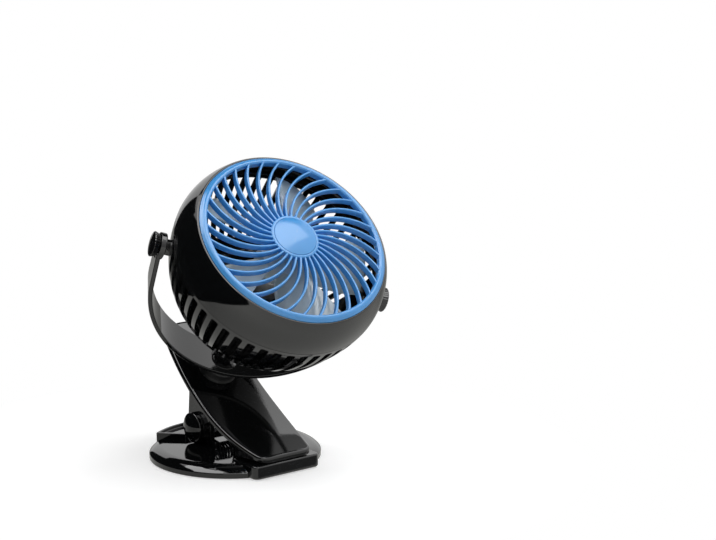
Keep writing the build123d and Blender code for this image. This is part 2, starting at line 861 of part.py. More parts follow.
def make_yoke():
    """U-shaped strip with an eye at each end and a seat for the swivel."""
    yoke = yoke_strip() & yoke_taper()
    eye_outer = yoke_eye_inner + yoke_eye_length
    for side in (-1, 1):
        yoke += side_cylinder(yoke_eye_diameter / 2, side, yoke_eye_inner, eye_outer)
        yoke -= side_cylinder(yoke_eye_diameter / 2, side, eye_outer, 2 * eye_outer)
        yoke -= side_cylinder(pivot_pin_diameter / 2 + running_gap, side, 0, 2 * eye_outer)
    yoke += z_cylinder(swivel_cap_diameter / 2 + yoke_seat_margin, -yoke_bottom, yoke_seat_top())
    yoke -= z_cylinder(swivel_pin_diameter / 2, -yoke_bottom - cut_reach, 0)
    return yoke_at * yoke


def yoke_seat_top():
    """Height of the seat inside the yoke's bottom."""
    return -yoke_bottom + yoke_thickness + yoke_seat_rise


def make_swivel_cap():
    """Domed cap inside the yoke's bottom, over the end of the swivel pin."""
    base = yoke_seat_top()
    cap = domed_disc(swivel_cap_diameter / 2, base, base + swivel_cap_rim, swivel_cap_height - swivel_cap_rim)
    cap -= z_cylinder(swivel_pin_diameter / 2, base - 1, base + swivel_pin_reach)
    return yoke_at * cap


def make_swivel_pin():
    """Shouldered pin from inside the arm up through the yoke."""
    top = yoke_seat_top() + swivel_pin_reach
    floor = -arm_floor_drop() - seat_gap
    shank = z_cylinder(swivel_pin_diameter / 2, floor - 0.5, top)
    head = z_cylinder(swivel_head_diameter / 2, floor - swivel_head_height, floor)
    return yoke_at * (shank + head)


def make_swivel_washer():
    """Friction washer between the boss and the yoke."""
    low = -(yoke_bottom + boss_top_gap + swivel_washer_thickness)
    top = low + swivel_washer_thickness
    return arm_at * z_tube(swivel_washer_diameter / 2, swivel_pin_diameter / 2 + running_gap, low, top)


# ================================================================ tilt pivots
def make_pivot_pin(side):
    """Stud from the head's boss through the yoke's eye into the knob."""
    start = band_back_radius - pivot_pin_root
    stop = knob_start() + pivot_pin_reach
    return head_at * side_cylinder(pivot_pin_diameter / 2, side, start, stop)


def make_tilt_washer(side):
    """Thin friction washer between the head's boss and the yoke's eye."""
    outer = yoke_eye_inner - pocket_gap
    inner = outer - washer_thickness
    ring = side_cylinder(washer_diameter / 2, side, inner, outer)
    ring -= side_cylinder(pivot_pin_diameter / 2 + running_gap, side, 0, 2 * outer)
    return yoke_at * ring


def knob_start():
    """Inner face of a knob, from the middle of the head."""
    return yoke_eye_inner + yoke_eye_length + seat_gap


def make_knob(side):
    """Flared, ribbed knob on the outer end of a pivot stud."""
    inner = knob_inner_diameter / 2
    outer = knob_outer_diameter / 2
    edge = knob_length - knob_dome
    outline = [
        Line((0, 0), (inner, 0)),
        Line((inner, 0), (outer, edge - knob_chamfer)),
        Line((outer, edge - knob_chamfer), (outer - knob_chamfer, edge)),
        dome(outer - knob_chamfer, edge, knob_dome),
        Line((0, knob_length), (0, 0)),
    ]
    knob = revolve(Plane.XZ * make_face(outline), Axis.Z)
    groove_at = outer + knob_groove_radius - knob_rib_depth
    groove = Pos(groove_at, 0, 0) * Cylinder(knob_groove_radius, 4 * knob_length)
    knob -= [Rot(Z=index * 360 / knob_ribs) * groove for index in range(knob_ribs)]
    knob -= z_cylinder(pivot_pin_diameter / 2 + running_gap, -1, pivot_pin_reach + seat_gap)
    return head_at * Pos(side * knob_start(), 0, 0) * Rot(Y=side * 90) * knob


# ================================================================ head casing
def housing_front():
    """The housing stops just behind the ring's edge."""
    return ring_plane - seat_gap


def band_profile(inset):
    """Side of the front housing from front to back, as an arc."""
    return ThreePointArc(
        (band_front_radius - inset, housing_front()),
        (band_middle_radius - inset, band_middle_z),
        (band_back_radius - inset, band_back_z),
    )


def make_front_housing():
    """Smooth bulging band round the front of the head."""
    inner = ring_radius + lap_clearance
    ledge_root = inner + ledge_thickness
    ledge_back = ring_skirt - ledge_thickness
    outside = band_profile(0)
    inside = ThreePointArc(
        (band_back_radius - shell_wall, band_back_z),
        (band_middle_radius - shell_wall, band_middle_z - ledge_thickness),
        (ledge_root, ledge_back),
    )
    outline = [
        outside,
        Line((band_back_radius, band_back_z), (band_back_radius - shell_wall, band_back_z)),
        inside,
        Line((ledge_root, ledge_back), (inner - ledge_width, ledge_back)),
        Line((inner - ledge_width, ledge_back), (inner - ledge_width, ring_skirt)),
        Line((inner - ledge_width, ring_skirt), (inner, ring_skirt)),
        Line((inner, ring_skirt), (inner, housing_front())),
        Line((inner, housing_front()), (band_front_radius, housing_front())),
    ]
    housing = revolve(Plane.XZ * make_face(outline), Axis.Z)
    return head_at * housing


def bowl_profile(inset):
    """Side of the rear bowl from front to back, as an arc."""
    return ThreePointArc(
        (band_back_radius - inset, band_back_z),
        (bowl_middle_radius - inset, bowl_middle_z),
        (bowl_back_radius - 0.8 * inset, bowl_back_z + 0.4 * inset),
    )


def bowl_blank():
    """Rear bowl with a rounded edge and a flat floor, before its slots."""
    floor_in = bowl_floor_z + shell_wall
    front = band_back_z
    side_out = bowl_profile(0)
    side_in = bowl_profile(shell_wall)
    end_in = side_in @ 1
    edge_in = (bowl_back_radius - bowl_floor_radius) * (1 - bowl_edge_bulge)
    edge_down = (bowl_back_z - bowl_floor_z) * bowl_edge_bulge
    outline = [
        side_out,
        ThreePointArc(
            (bowl_back_radius, bowl_back_z),
            (bowl_back_radius - edge_in, bowl_back_z - edge_down),
            (bowl_floor_radius, bowl_floor_z),
        ),
        Line((bowl_floor_radius, bowl_floor_z), (0, bowl_floor_z)),
        Line((0, bowl_floor_z), (0, floor_in)),
        Line((0, floor_in), (bowl_floor_radius - 1.0, floor_in)),
        Line((bowl_floor_radius - 1.0, floor_in), (end_in.X, end_in.Y)),
        side_in,
        Line((band_back_radius - shell_wall, front), (band_back_radius, front)),
    ]
    return revolve(Plane.XZ * make_face(outline), Axis.Z)


def slot_cutter():
    """One slot of the bowl, cut straight outward and narrowing with the radius."""
    inner = pod_radius + slot_root
    outer = band_back_radius + slot_root
    half_in = slot_width / 2 * inner / band_back_radius
    half_out = slot_width / 2 * outer / band_back_radius
    plan = Polyline((inner, -half_in), (outer, -half_out), (outer, half_out), (inner, half_in), close=True)
    cutter = Pos(0, 0, slot_back_z) * extrude(make_face(plan), slot_front_z - slot_back_z)
    side = sqrt((outer - inner) ** 2 + (half_out - half_in) ** 2)
    corners = cutter.edges().filter_by(lambda edge: abs(edge.length - side) < same_length)
    return fillet(corners, slot_round_share * half_in)


def make_rear_shell():
    """Slotted bowl behind the blades, with bosses for the pivots."""
    shell = bowl_blank()
    clear_of_pivot = pivot_boss_diameter / 2 + pivot_boss_margin
    cutters = []
    for index in range(slot_count):
        angle = (index + 0.5) * 360 / slot_count
        side = abs(sin(radians(angle))) * band_back_radius
        if side > clear_of_pivot:
            cutters.append(Rot(Z=angle) * slot_cutter())
    shell -= cutters
    for side in (-1, 1):
        shell += pivot_boss(side)
    lap = z_tube(
        band_back_radius - shell_wall - lap_clearance,
        band_back_radius - 2 * shell_wall,
        band_back_z - lap_depth / 2,
        band_back_z + lap_depth,
    )
    shell += lap
    for side in (-1, 1):
        start = band_back_radius - pivot_pin_root
        shell -= side_cylinder(pivot_pin_diameter / 2, side, start, 2 * start)
    shell -= z_cylinder(rear_cover_radius + seat_gap, bowl_floor_z - 1, cover_top())
    shell -= z_cylinder(pod_radius - pod_wall, bowl_floor_z - 1, bowl_floor_z + shell_wall + 1)
    for x, y in cover_screw_places():
        shell -= z_cylinder(screw_diameter / 2, bowl_floor_z - 1, pod_front, x, y)
    return head_at * shell


def pivot_boss(side):
    """Round boss on the side of the bowl that carries a pivot stud."""
    start = band_back_radius - pivot_pin_root - 0.5
    stop = yoke_eye_inner - washer_thickness - seat_gap
    return side_cylinder(pivot_boss_diameter / 2, side, start, stop)


# ================================================================ front grille
def polar(radius, angle):
    return (radius * cos(radians(angle)), radius * sin(radians(angle)))


def spoke():
    """One curved fin from the hub to the ring."""
    path = ThreePointArc(
        polar(hub_radius - hub_wall / 2, 0),
        polar(spoke_mid_radius, -spoke_mid_turn),
        polar(ring_inner_radius + 1.0, -spoke_sweep),
    )
    path = Pos(0, 0, spoke_top - spoke_depth / 2) * path
    section = Plane(origin=path @ 0, x_dir=(0, 0, 1), z_dir=path % 0) * Rectangle(spoke_depth, spoke_width)
    return sweep(section, path)


def grille_ring():
    """Ring with a sloped bead, and a skirt that drops into the housing."""
    outline = [
        (ring_radius, ring_skirt),
        (ring_radius, ring_plane),
        (ring_radius - ring_bevel, ring_plane + ring_bevel),
        (ring_inner_radius + ring_bevel, ring_top),
        (ring_inner_radius, ring_top - ring_bevel),
        (ring_inner_radius, spoke_top - spoke_depth),
        (ring_radius - 2 * ring_bevel, ring_skirt),
    ]
    return spun(outline)


def make_front_grille():
    """Ring, hub and curved fins in one moulding."""
    hub_top = spoke_top + hub_rise
    hub = z_cylinder(hub_radius, spoke_top - spoke_depth, hub_top)
    hub = fillet(hub.edges().group_by(Axis.Z)[-1], hub_round)
    hub -= z_cylinder(hub_radius - hub_wall, spoke_top - spoke_depth - 1, spoke_top - hub_face)
    hub -= z_cylinder(hub_cap_radius + pocket_gap, hub_top - hub_cap_groove, hub_top + 1)
    one = spoke()
    fins = [Rot(Z=index * 360 / spoke_count) * one for index in range(spoke_count)]
    return head_at * (grille_ring() + hub + fins)


def make_grille_cap():
    """Shallow domed disc in the middle of the grille."""
    low = spoke_top + hub_rise - hub_cap_groove
    return head_at * domed_disc(hub_cap_radius, low, low + 1.0, hub_cap_rise)


# ================================================================ impeller
def blade_section(radius, chord, pitch, skew, camber):
    """Thin cambered section of a blade, square to the radius."""
    half = chord / 2
    thick = blade_thickness / 2
    edge = thick * blade_edge
    outline = [
        ThreePointArc((-half, -edge), (0, camber - thick), (half, -edge)),
        Line((half, -edge), (half, edge)),
        ThreePointArc((half, edge), (0, camber + thick), (-half, edge)),
        Line((-half, edge), (-half, -edge)),
    ]
    place = Plane(origin=(radius, skew, blade_plane), x_dir=(0, 1, 0), z_dir=(1, 0, 0))
    return place * Rot(Z=pitch) * make_face(outline)


def blade():
    """One twisted blade, its tip trimmed round."""
    root = impeller_hub_radius - 2 * impeller_hub_wall
    tip = blade_radius + 2 * blade_thickness
    sections = []
    for part in (0, 1 / 3, 2 / 3, 1):
        chord = blade_tip_chord - (blade_tip_chord - blade_root_chord) * (1 - part) ** blade_swell
        pitch = blade_root_pitch + (blade_tip_pitch - blade_root_pitch) * part
        skew = blade_tip_skew * part ** 2
        camber = blade_mid_camber - (blade_mid_camber - blade_root_camber) * (1 - part) ** 2
        sections.append(blade_section(root + (tip - root) * part, chord, pitch, skew, camber))
    return loft(sections) & z_cylinder(blade_radius, -cut_reach, cut_reach)


def make_impeller():
    """Domed hub with its blades and the boss that grips the shaft."""
    base = impeller_hub_front - impeller_hub_dome
    inner_radius = impeller_hub_radius - impeller_hub_wall
    hub = domed_disc(impeller_hub_radius, impeller_hub_back, base, impeller_hub_dome)
    inside = domed_disc(inner_radius, impeller_hub_back - 1, base - impeller_hub_wall, impeller_hub_dome)
    hub -= inside
    one = blade()
    blades = [Rot(Z=index * 360 / blade_count) * one for index in range(blade_count)]
    wheel = hub + [part - inside for part in blades]
    boss_top = impeller_hub_front - impeller_hub_wall
    wheel += z_cylinder(shaft_boss_diameter / 2, impeller_hub_back + 1.0, boss_top)
    wheel -= z_cylinder(shaft_diameter / 2, -cut_reach, shaft_front())
    return head_at * wheel


def shaft_front():
    return impeller_hub_front - 2 * impeller_hub_wall


# ================================================================ motor
def make_motor_can():
    """Drawn can of the motor with a nose that holds the front bushing."""
    radius = motor_diameter / 2
    can = z_cylinder(radius, motor_back, motor_front)
    can = fillet(can.edges().group_by(Axis.Z)[-1], motor_round)
    can += z_cylinder(motor_nose_diameter / 2, motor_front, motor_front + motor_nose_length)
    can -= z_cylinder(radius - motor_wall, motor_back - 1, motor_front - motor_wall)
    can -= z_cylinder(bushing_diameter / 2, motor_front - motor_wall - 1, motor_front + motor_nose_length + 1)
    return head_at * can


def make_motor_end():
    """Moulded end cap of the motor, holding the rear bushing."""
    radius = motor_diameter / 2 - motor_wall
    cap = z_cylinder(radius, motor_back, motor_back + motor_end_thickness)
    cap -= z_cylinder(bushing_diameter / 2, motor_back - 1, motor_front)
    return head_at * cap


def make_bushing(z_from):
    ring = z_tube(bushing_diameter / 2, shaft_diameter / 2 + running_gap, z_from, z_from + bushing_length)
    return head_at * ring


def make_magnets():
    """Two curved magnets inside the can."""
    outer = motor_diameter / 2 - motor_wall
    ring = z_tube(outer, outer - magnet_thickness, rotor_low() - 1, rotor_low() + rotor_length + 1)
    gap = Box(3 * motor_diameter, magnet_gap, 4 * motor_diameter)
    return head_at * (ring - gap)


def rotor_low():
    return (motor_front + motor_back) / 2 - rotor_length / 2


def make_rotor():
    """Laminated three-pole core on the shaft."""
    core = z_cylinder(rotor_diameter / 2, rotor_low(), rotor_low() + rotor_length)
    middle = rotor_low() + rotor_length / 2
    rim = rotor_diameter / 2
    slot = Pos(rim - rotor_window, 0, middle) * Box(3 * rotor_slot, rotor_slot, 2 * rotor_length)
    window = Pos(rim - 1.7 * rotor_window, 0, middle) * Cylinder(rotor_window, 2 * rotor_length)
    cutter = slot + window
    core -= [Rot(Z=(index + 0.5) * 360 / rotor_poles) * cutter for index in range(rotor_poles)]
    core -= z_cylinder(shaft_diameter / 2, rotor_low() - 1, rotor_low() + rotor_length + 1)
    return head_at * core


def make_shaft():
    return head_at * z_cylinder(shaft_diameter / 2, motor_back - 1.0, shaft_front())


# ================================================================ pod
def make_pod():
    """Round housing behind the motor for the cell and the board."""
    floor = bowl_floor_z + shell_wall
    pod = z_cylinder(pod_radius, floor, pod_front)
    pod = fillet(pod.edges().group_by(Axis.Z)[-1], pod_round)
    pod -= z_cylinder(pod_radius - pod_wall, floor - 1, pod_front - pod_wall)
    seat_inner = motor_diameter / 2 + face_gap
    seat_outer = motor_diameter / 2 + seat_wall
    root = pod_front - pod_wall / 2
    pod += z_tube(seat_outer, seat_inner, root, pod_front + seat_height)
    pod += z_tube(seat_outer, bushing_diameter, root, motor_back - face_gap)
    pod -= z_cylinder(bushing_diameter / 2 + seat_wall, pod_front - 2 * pod_wall, motor_back)
    rib_low = pod_front - seat_rib / 2
    rib_top = pod_front + seat_height - seat_rib
    rib_x = seat_outer + seat_rib_length / 2 - seat_wall / 2
    rib = Pos(rib_x, 0, (rib_low + rib_top) / 2) * Box(seat_rib_length, seat_rib, rib_top - rib_low)
    pod += [Rot(Z=(index + 0.5) * 360 / seat_rib_count) * rib for index in range(seat_rib_count)]
    for x, y in cover_screw_places():
        post = z_cylinder(post_radius(), floor, pod_front - pod_wall / 2, x, y)
        post -= z_cylinder(screw_diameter / 2, floor - 1, cover_screw_end() + seat_gap, x, y)
        pod += post
    return head_at * pod


def post_radius():
    return screw_diameter / 2 + pod_wall


def cover_low():
    """Outer face of the lid."""
    return bowl_floor_z - cover_lip


def cover_top():
    """Inner face of the lid."""
    return cover_low() + rear_cover_thickness


def cover_screw_end():
    return cover_top() + cover_screw_reach


def cover_screw_places():
    reach = pod_radius - pod_wall - post_radius() + pocket_gap
    return [(reach, 0.0), (-reach, 0.0)]


def make_rear_cover():
    """Lid over the pod, with holes for the button and the socket."""
    low = cover_low()
    lid = z_cylinder(rear_cover_radius, low, cover_top())
    lid = fillet(lid.edges().group_by(Axis.Z)[0], cover_round)
    lid -= z_cylinder(button_diameter / 2 + button_clearance, low - 1, cover_top() + 1, 0, board_y)
    gap = 2 * seat_gap
    window = Box(socket_width + gap, socket_height + gap, 4 * rear_cover_thickness)
    lid -= Pos(socket_x, board_y, low) * window
    for x, y in cover_screw_places():
        lid -= z_cylinder(screw_diameter / 2, low - 1, cover_top() + 1, x, y)
        lid -= z_cylinder(screw_head_diameter / 2 + pocket_gap, low - 1, low + cover_head_height, x, y)
    return head_at * lid


def make_cover_screws():
    """Two screws through the lid into the pod's posts."""
    low = cover_low()
    shoulder = low + cover_head_height
    screws = []
    for x, y in cover_screw_places():
        head = z_cylinder(screw_head_diameter / 2, low, shoulder, x, y)
        shank = z_cylinder(screw_diameter / 2, shoulder, cover_screw_end(), x, y)
        slot = Pos(x, y, low) * Box(2 * screw_head_diameter, screw_slot_width, 2 * screw_slot_depth)
        screws.append(head_at * (head + shank - slot))
    return Compound(children=screws)


def make_cell():
    """Rechargeable round cell across the pod."""
    z = cover_top() + cell_diameter / 2 + 2 * seat_gap
    body = x_cylinder(cell_diameter / 2, -cell_length / 2, cell_length / 2, cell_y, z)
    body = fillet(body.edges().filter_by(GeomType.CIRCLE), cell_round)
    tip = x_cylinder(cell_diameter / 4, cell_length / 2 - cell_cap, cell_length / 2 + cell_cap, cell_y, z)
    return head_at * (body + tip)


def board_z():
    """Face of the board next to the lid."""
    return cover_top() + board_height


def board_block(x, y, z_from, length, width, height):
    """Plain block that stands for one part on the board."""
    return Pos(x, board_y + y, z_from + height / 2) * Box(length, width, height)


def make_board():
    """Circuit board with its switch and driver parts."""
    top = board_z() + board_thickness
    board = board_block(0, 0, board_z(), board_length, board_width, board_thickness)
    board += board_block(-board_length / 3, 0, top, chip_length, chip_width, chip_height)
    board += board_block(board_length / 5, -chip_width / 2, top, chip_width, chip_width, chip_height)
    board += board_block(0, 0, board_z() - switch_height, switch_width, switch_width, switch_height)
    return head_at * board


def make_board_posts():
    """Two spacers that hold the board off the lid."""
    reach = board_length / 2 - 1.5 * board_post_radius
    posts = [z_cylinder(board_post_radius, cover_top(), board_z(), x, board_y) for x in (-reach, reach)]
    return Compound(children=[head_at * post for post in posts])


def make_button():
    """Round push button through the lid, with a stem to the switch."""
    shoulder = cover_top() + pocket_gap
    button = z_cylinder(button_diameter / 2, cover_low() - button_proud, shoulder, 0, board_y)
    button = fillet(button.edges().group_by(Axis.Z)[0], button_round)
    stem_top = board_z() - switch_height - button_travel - pocket_gap
    stem = z_cylinder(button_stem_radius, cover_top(), stem_top, 0, board_y)
    return head_at * (button + stem)


def make_socket():
    """Charging socket on the board, open through the lid."""
    low = bowl_floor_z
    length = board_z() - low
    shell = Pos(socket_x, board_y, low + length / 2) * Box(socket_width, socket_height, length)
    width = socket_width - 2 * socket_wall
    height = socket_height - 2 * socket_wall
    bore = Pos(socket_x, board_y, low) * Box(width, height, length)
    return head_at * (shell - bore)


# ================================================================ build
def build_all():
    return {
        "foot": make_foot(),
        "foot_pad": make_foot_pad(),
        "lower_jaw_pad": make_lower_pad(),
        "hinge_pin": make_hinge_pin(),
        "hinge_cap_left": make_hinge_cap(-1),
        "hinge_cap_right": make_hinge_cap(1),
        "clip_spring": make_spring(),
        "arm": make_arm(),
        "arm_bracket": make_arm_bracket(),
        "bracket_screws": make_bracket_screws(),
        "jaw_plate": make_jaw_plate(),
        "upper_jaw_pad": make_upper_pad(),
        "swivel_washer": make_swivel_washer(),
        "yoke": make_yoke(),
        "swivel_pin": make_swivel_pin(),
        "swivel_cap": make_swivel_cap(),
        "tilt_washer_left": make_tilt_washer(-1),
        "tilt_washer_right": make_tilt_washer(1),
        "tilt_pin_left": make_pivot_pin(-1),
        "tilt_pin_right": make_pivot_pin(1),
        "tilt_knob_left": make_knob(-1),
        "tilt_knob_right": make_knob(1),
        "front_housing": make_front_housing(),
        "rear_shell": make_rear_shell(),
        "front_grille": make_front_grille(),
        "grille_cap": make_grille_cap(),
        "impeller": make_impeller(),
        "motor_shaft": make_shaft(),
        "rotor": make_rotor(),
        "motor_can": make_motor_can(),
        "motor_end": make_motor_end(),
        "front_bushing": make_bushing(motor_front + motor_nose_length - bushing_length),
        "rear_bushing": make_bushing(motor_back),
        "motor_magnets": make_magnets(),
        "pod": make_pod(),
        "rear_cover": make_rear_cover(),
        "cover_screws": make_cover_screws(),
        "battery_cell": make_cell(),
        "circuit_board": make_board(),
        "board_posts": make_board_posts(),
        "power_button": make_button(),
        "charging_socket": make_socket(),
    }


os.makedirs("parts", exist_ok=True)
for name, shape in build_all().items():
    export_step(shape, "parts/%s.step" % name)
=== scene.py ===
"""Looks for the clip fan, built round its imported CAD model.

Sizes are in millimetres, as in the CAD source, and every mesh is written in the
local frame of the piece that carries it (foot, arm, yoke or head).  build() turns
the points into metres in the frame that the CAD nodes share.  The studio at the end
is in metres.
"""

import json
from math import asin, atan2, cos, pi, radians, sin, sqrt, tan

import bmesh
import bpy
from mathutils import Matrix, Vector


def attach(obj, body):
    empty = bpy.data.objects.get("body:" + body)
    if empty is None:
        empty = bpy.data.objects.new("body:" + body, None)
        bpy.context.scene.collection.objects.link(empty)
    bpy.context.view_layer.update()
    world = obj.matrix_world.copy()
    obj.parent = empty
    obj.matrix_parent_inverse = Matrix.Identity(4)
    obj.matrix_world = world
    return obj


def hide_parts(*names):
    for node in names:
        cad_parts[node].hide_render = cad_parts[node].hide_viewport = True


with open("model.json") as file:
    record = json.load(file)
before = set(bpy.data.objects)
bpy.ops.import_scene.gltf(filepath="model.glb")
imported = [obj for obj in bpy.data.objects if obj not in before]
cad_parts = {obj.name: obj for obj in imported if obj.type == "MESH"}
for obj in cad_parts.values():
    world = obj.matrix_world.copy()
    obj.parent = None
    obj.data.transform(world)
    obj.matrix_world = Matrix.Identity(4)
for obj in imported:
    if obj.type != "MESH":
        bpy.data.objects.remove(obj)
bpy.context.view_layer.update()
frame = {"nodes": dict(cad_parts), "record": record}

# ================================================================ sizes
FOOT_RADIUS = 64.5
FOOT_FRONT = 61.0
FOOT_RIM = 4.2
FOOT_BEVEL = 0.9
FOOT_CENTRE = 6.0
FOOT_SHOULDER_RADIUS = 54.0
FOOT_SHOULDER = 9.2
FOOT_SWELL = 0.72
FOOT_CROWN = 9.8
FOOT_CROWN_ROWS = (0.7, 0.35, 0.0)
FOOT_LIFT = 0.6
BLOCK_WIDTH = 58.6
BLOCK_TOP = 10.6
BLOCK_BACK = -31.0
BLOCK_CORNER = 5.0

ARM_WIDTH = 61.0
ARM_TIP_WIDTH = ARM_WIDTH - 16.4
ARM_TOP_WIDTH = ARM_WIDTH - 5.4
ARM_WIDEST_Y = 5.0
ARM_FRONT_SWELL = 2.3
ARM_REAR_SWELL = 0.5
ARM_CURVE = 226.2
ARM_CENTRE = (-117.0, 234.9)
ARM_DEPTH = 4.6
ARM_WALL = 2.2
ARM_CROWN = 1.0
ARM_ROUND = 2.5
ARM_TIP_Y = -FOOT_FRONT
ARM_TOP_Y = 61.0
ARM_TIP_CORNER = 7.0
ARM_TOP_CORNER = 16.0

HINGE = (24.0, 21.5)
BARREL_RADIUS = 11.4
BARREL_HALF = 23.0
CAP_GAP = 0.3
CAP_RIM = 3.6
CAP_DOME = 4.4
LUG_INNER = 14.0
LUG_THICKNESS = 4.0
LUG_ROOT = 4.0
LUG_REACH = 7.0              # how far the lug's web runs out in front of its eye
LUG_WEB = (13.0, 12.0)       # height of the web at the eye and at its end

SPRING_WIRE = 1.8
SPRING_RADIUS = 6.9
SPRING_TURNS = 5.3
SPRING_PITCH = 2.6
SPRING_LOWER_LEG = 19.0
SPRING_UPPER_LEG = 30.2

REST_TOP = 13.4
REST_CORNER = (39.5, 54.5)
REST_BACK = 67.0
REST_NECK = 24.0
REST_FRONT = HINGE[0] + BARREL_RADIUS + 1.6
REST_DISH = 2.6
REST_RIM = 2.0
REST_END = 3.0               # how much of the rear arc's ends gives way to a rounding
REST_ROUNDING = ((-0.75, -0.55), (-0.35, 0.35), (-1.4, 1.05))

SWIVEL_SLOPE = 40.0
SWIVEL_REST = -26.0
TILT_REST = 8.3
PIVOT = (0.0, -41.5, 145.3)

YOKE_INNER = 78.6
YOKE_DROP = 17.6
YOKE_LEAN = 9.5
YOKE_THICKNESS = 3.2
YOKE_WIDTH = 30.0
YOKE_WAIST = 12.4
YOKE_WAIST_HEIGHT = 0.62
YOKE_EYE_WIDTH = 18.0
YOKE_RADIUS = YOKE_INNER + YOKE_THICKNESS
YOKE_BOTTOM = YOKE_DROP + YOKE_RADIUS
EYE_INNER = 80.8
EYE_LENGTH = 4.2
EYE_RADIUS = 9.5
EYE_BORE = 2.55
SEAT_RADIUS = 11.0
SEAT_BORE = 3.0
SEAT_SINK = 0.4
SEAT_RISE = 0.6

BOSS_RADIUS = 14.0
BOSS_BORE = 3.05
BOSS_BEVEL = 1.0
BOSS_FOOT_RADIUS = 15.0
BOSS_FLARE = 0.8             # how much wider the boss is halfway down its flare
BOSS_RIM = 6.0
BOSS_GAP = 1.3
BOSS_SINK = 1.0              # how deep the flare runs into the arm, and the boss itself
BOSS_ROOT = 4.0

KNOB_START = EYE_INNER + EYE_LENGTH + 0.3
KNOB_LENGTH = 5.2
KNOB_OUTER = 9.2
KNOB_INNER = 8.0
KNOB_RIBS = 24
KNOB_RIB_DEPTH = 0.25
KNOB_RIB_SHARPNESS = 3
KNOB_RIB_START = KNOB_INNER - 0.1
KNOB_DOME = 0.8
KNOB_CHAMFER = 0.6

RING_RADIUS = 70.0
RING_PLANE = 42.7
RING_INNER = 64.8
RING_TOP = 45.0
RING_SKIRT = 36.5
RING_BEVEL = 0.9
RING_BEAD = (68.2, 44.55)
RING_GAP = 0.1
BAND = ((71.3, 42.4), (76.0, 33.0), (79.0, 16.0))
BAND_TOP_DROP = 0.3
BAND_INSIDE = 1.0            # the inner face is so much lower, and ends so far off the ring
LEDGE_REACH = 3.0
LEDGE_THICKNESS = 1.0
WALL = 2.4
BOWL = ((79.0, 16.0), (72.5, -13.5), (53.0, -45.0))
BOWL_TURN = (50.34, -48.1)
BOWL_FLOOR = -50.0
BOWL_FLOOR_RADIUS = 46.0
COVER_RECESS_RADIUS = 43.3
COVER_RECESS_INNER = 36.0
COVER_RECESS = -48.4
LAP_RADII = (74.2, 76.5)
LAP_HEIGHTS = (14.5, 19.0)
SLOT_COUNT = 50
SLOT_WIDTH = 6.0
SLOT_FRONT = 13.0
SLOT_BACK = -38.0
SLOT_ROUND = 1.6
PIVOT_BOSS_RADIUS = 5.75
PIVOT_BOSS_CLEAR = 2.2       # a slot nearer than this to a pivot boss stays closed
PIVOT_BOSS_START = 69.5
PIVOT_BOSS_STOP = 80.0

SPOKE_COUNT = 33
SPOKE_SWEEP = 31.0
SPOKE_MID_TURN = 13.3
SPOKE_MID_RADIUS = 41.0
SPOKE_WIDTH = 1.6
SPOKE_DEPTH = 4.6
SPOKE_TOP = 44.6
SPOKE_ROUND = 0.6
SPOKE_FLARE = 0.12
SPOKE_ROOT = 1.0             # how far a fin runs into the hub and into the ring
HUB_RADIUS = 18.0
HUB_RISE = 0.3
HUB_ROUND = 0.8
HUB_FLOOR = 1.6
HUB_WALL = 2.0
CAP_RADIUS = 15.8
CAP_SEAT = 0.8
CAP_SEAT_GAP = 0.1
CAP_EDGE = 1.0
CAP_RISE = 1.6

BLADE_COUNT = 5
BLADE_RADIUS = 63.5
BLADE_THICKNESS = 1.5
BLADE_PLANE = 20.0
BLADE_CHORD = (20.0, 44.0)
BLADE_PITCH = (42.0, 22.0)
BLADE_SKEW = 11.0
BLADE_CAMBER = (1.6, 3.5)
BLADE_SWELL = 1.45
IMPELLER_HUB_RADIUS = 17.0
IMPELLER_HUB_BACK = 9.0
IMPELLER_HUB_FRONT = 28.0
IMPELLER_HUB_DOME = 5.0
IMPELLER_HUB_WALL = 1.6
SLEEVE_BORE = 1.5
SLEEVE_RADIUS = 3.5
SLEEVE_BACK = 10.0
SLEEVE_BORE_END = 24.8
SLEEVE_FRONT = 26.4

# how finely curves are drawn
BOWL_ROWS = (16.0, 14.4, SLOT_FRONT)
SLOT_END_STEPS = (0.12, 0.45, 0.95, SLOT_ROUND)
SLOT_ROWS = [9.0 - 2.75 * k for k in range(17)]
BOWL_LOW_ROWS = (SLOT_BACK, -39.5, -42.0, -45.0)
RIB_BEFORE = (-0.5, -0.4)    # columns of points round the bowl: shares of a sector,
SLOT_STEPS = (-1.0, -0.5, 0.0, 0.5, 1.0)  # and shares of a slot's half width
RIB_AFTER = (0.4,)
QUARTER = [radians(90 * k / 8) for k in range(9)]
SMALL_QUARTER = [radians(angle) for angle in (30, 60, 90)]
EDGE_QUARTER = [radians(15 * k) for k in range(7)]
ACROSS = [k / 10 - 1 for k in range(21)]
ARM_STEPS = 60
ARM_WALL_STEPS = 3
BLADE_ROWS = 30
BLADE_COLUMNS = 16
YOKE_LEG_STEPS = 12
YOKE_BEND_STEPS = 72
YOKE_COLUMNS = 10
COIL_STEPS = 200
LEG_STEPS = 4
LUG_STEPS = 24
WIRE_STEPS = 16
HAIR = 1e-6                  # heights closer than this are the same

MM = 0.001
WELD = 2e-6                  # metres: points closer than this become one
SLIVER = 1e-6
SHARP = radians(32)


def turn(axis, degrees):
    return Matrix.Rotation(radians(degrees), 4, axis)


MILLIMETRES = Matrix.Scale(MM, 4)
FOOT_AT = Matrix.Identity(4)
ARM_AT = Matrix.Translation(PIVOT) @ turn("X", SWIVEL_SLOPE)
YOKE_AT = ARM_AT @ turn("Z", SWIVEL_REST)
HEAD_AT = YOKE_AT @ turn("X", TILT_REST)


def sideways(side, distance, place=(0.0, 0.0)):
    """Frame whose Z axis points out to one side, -1 left or 1 right."""
    return Matrix.Translation((side * distance, *place)) @ turn("Y", side * 90)


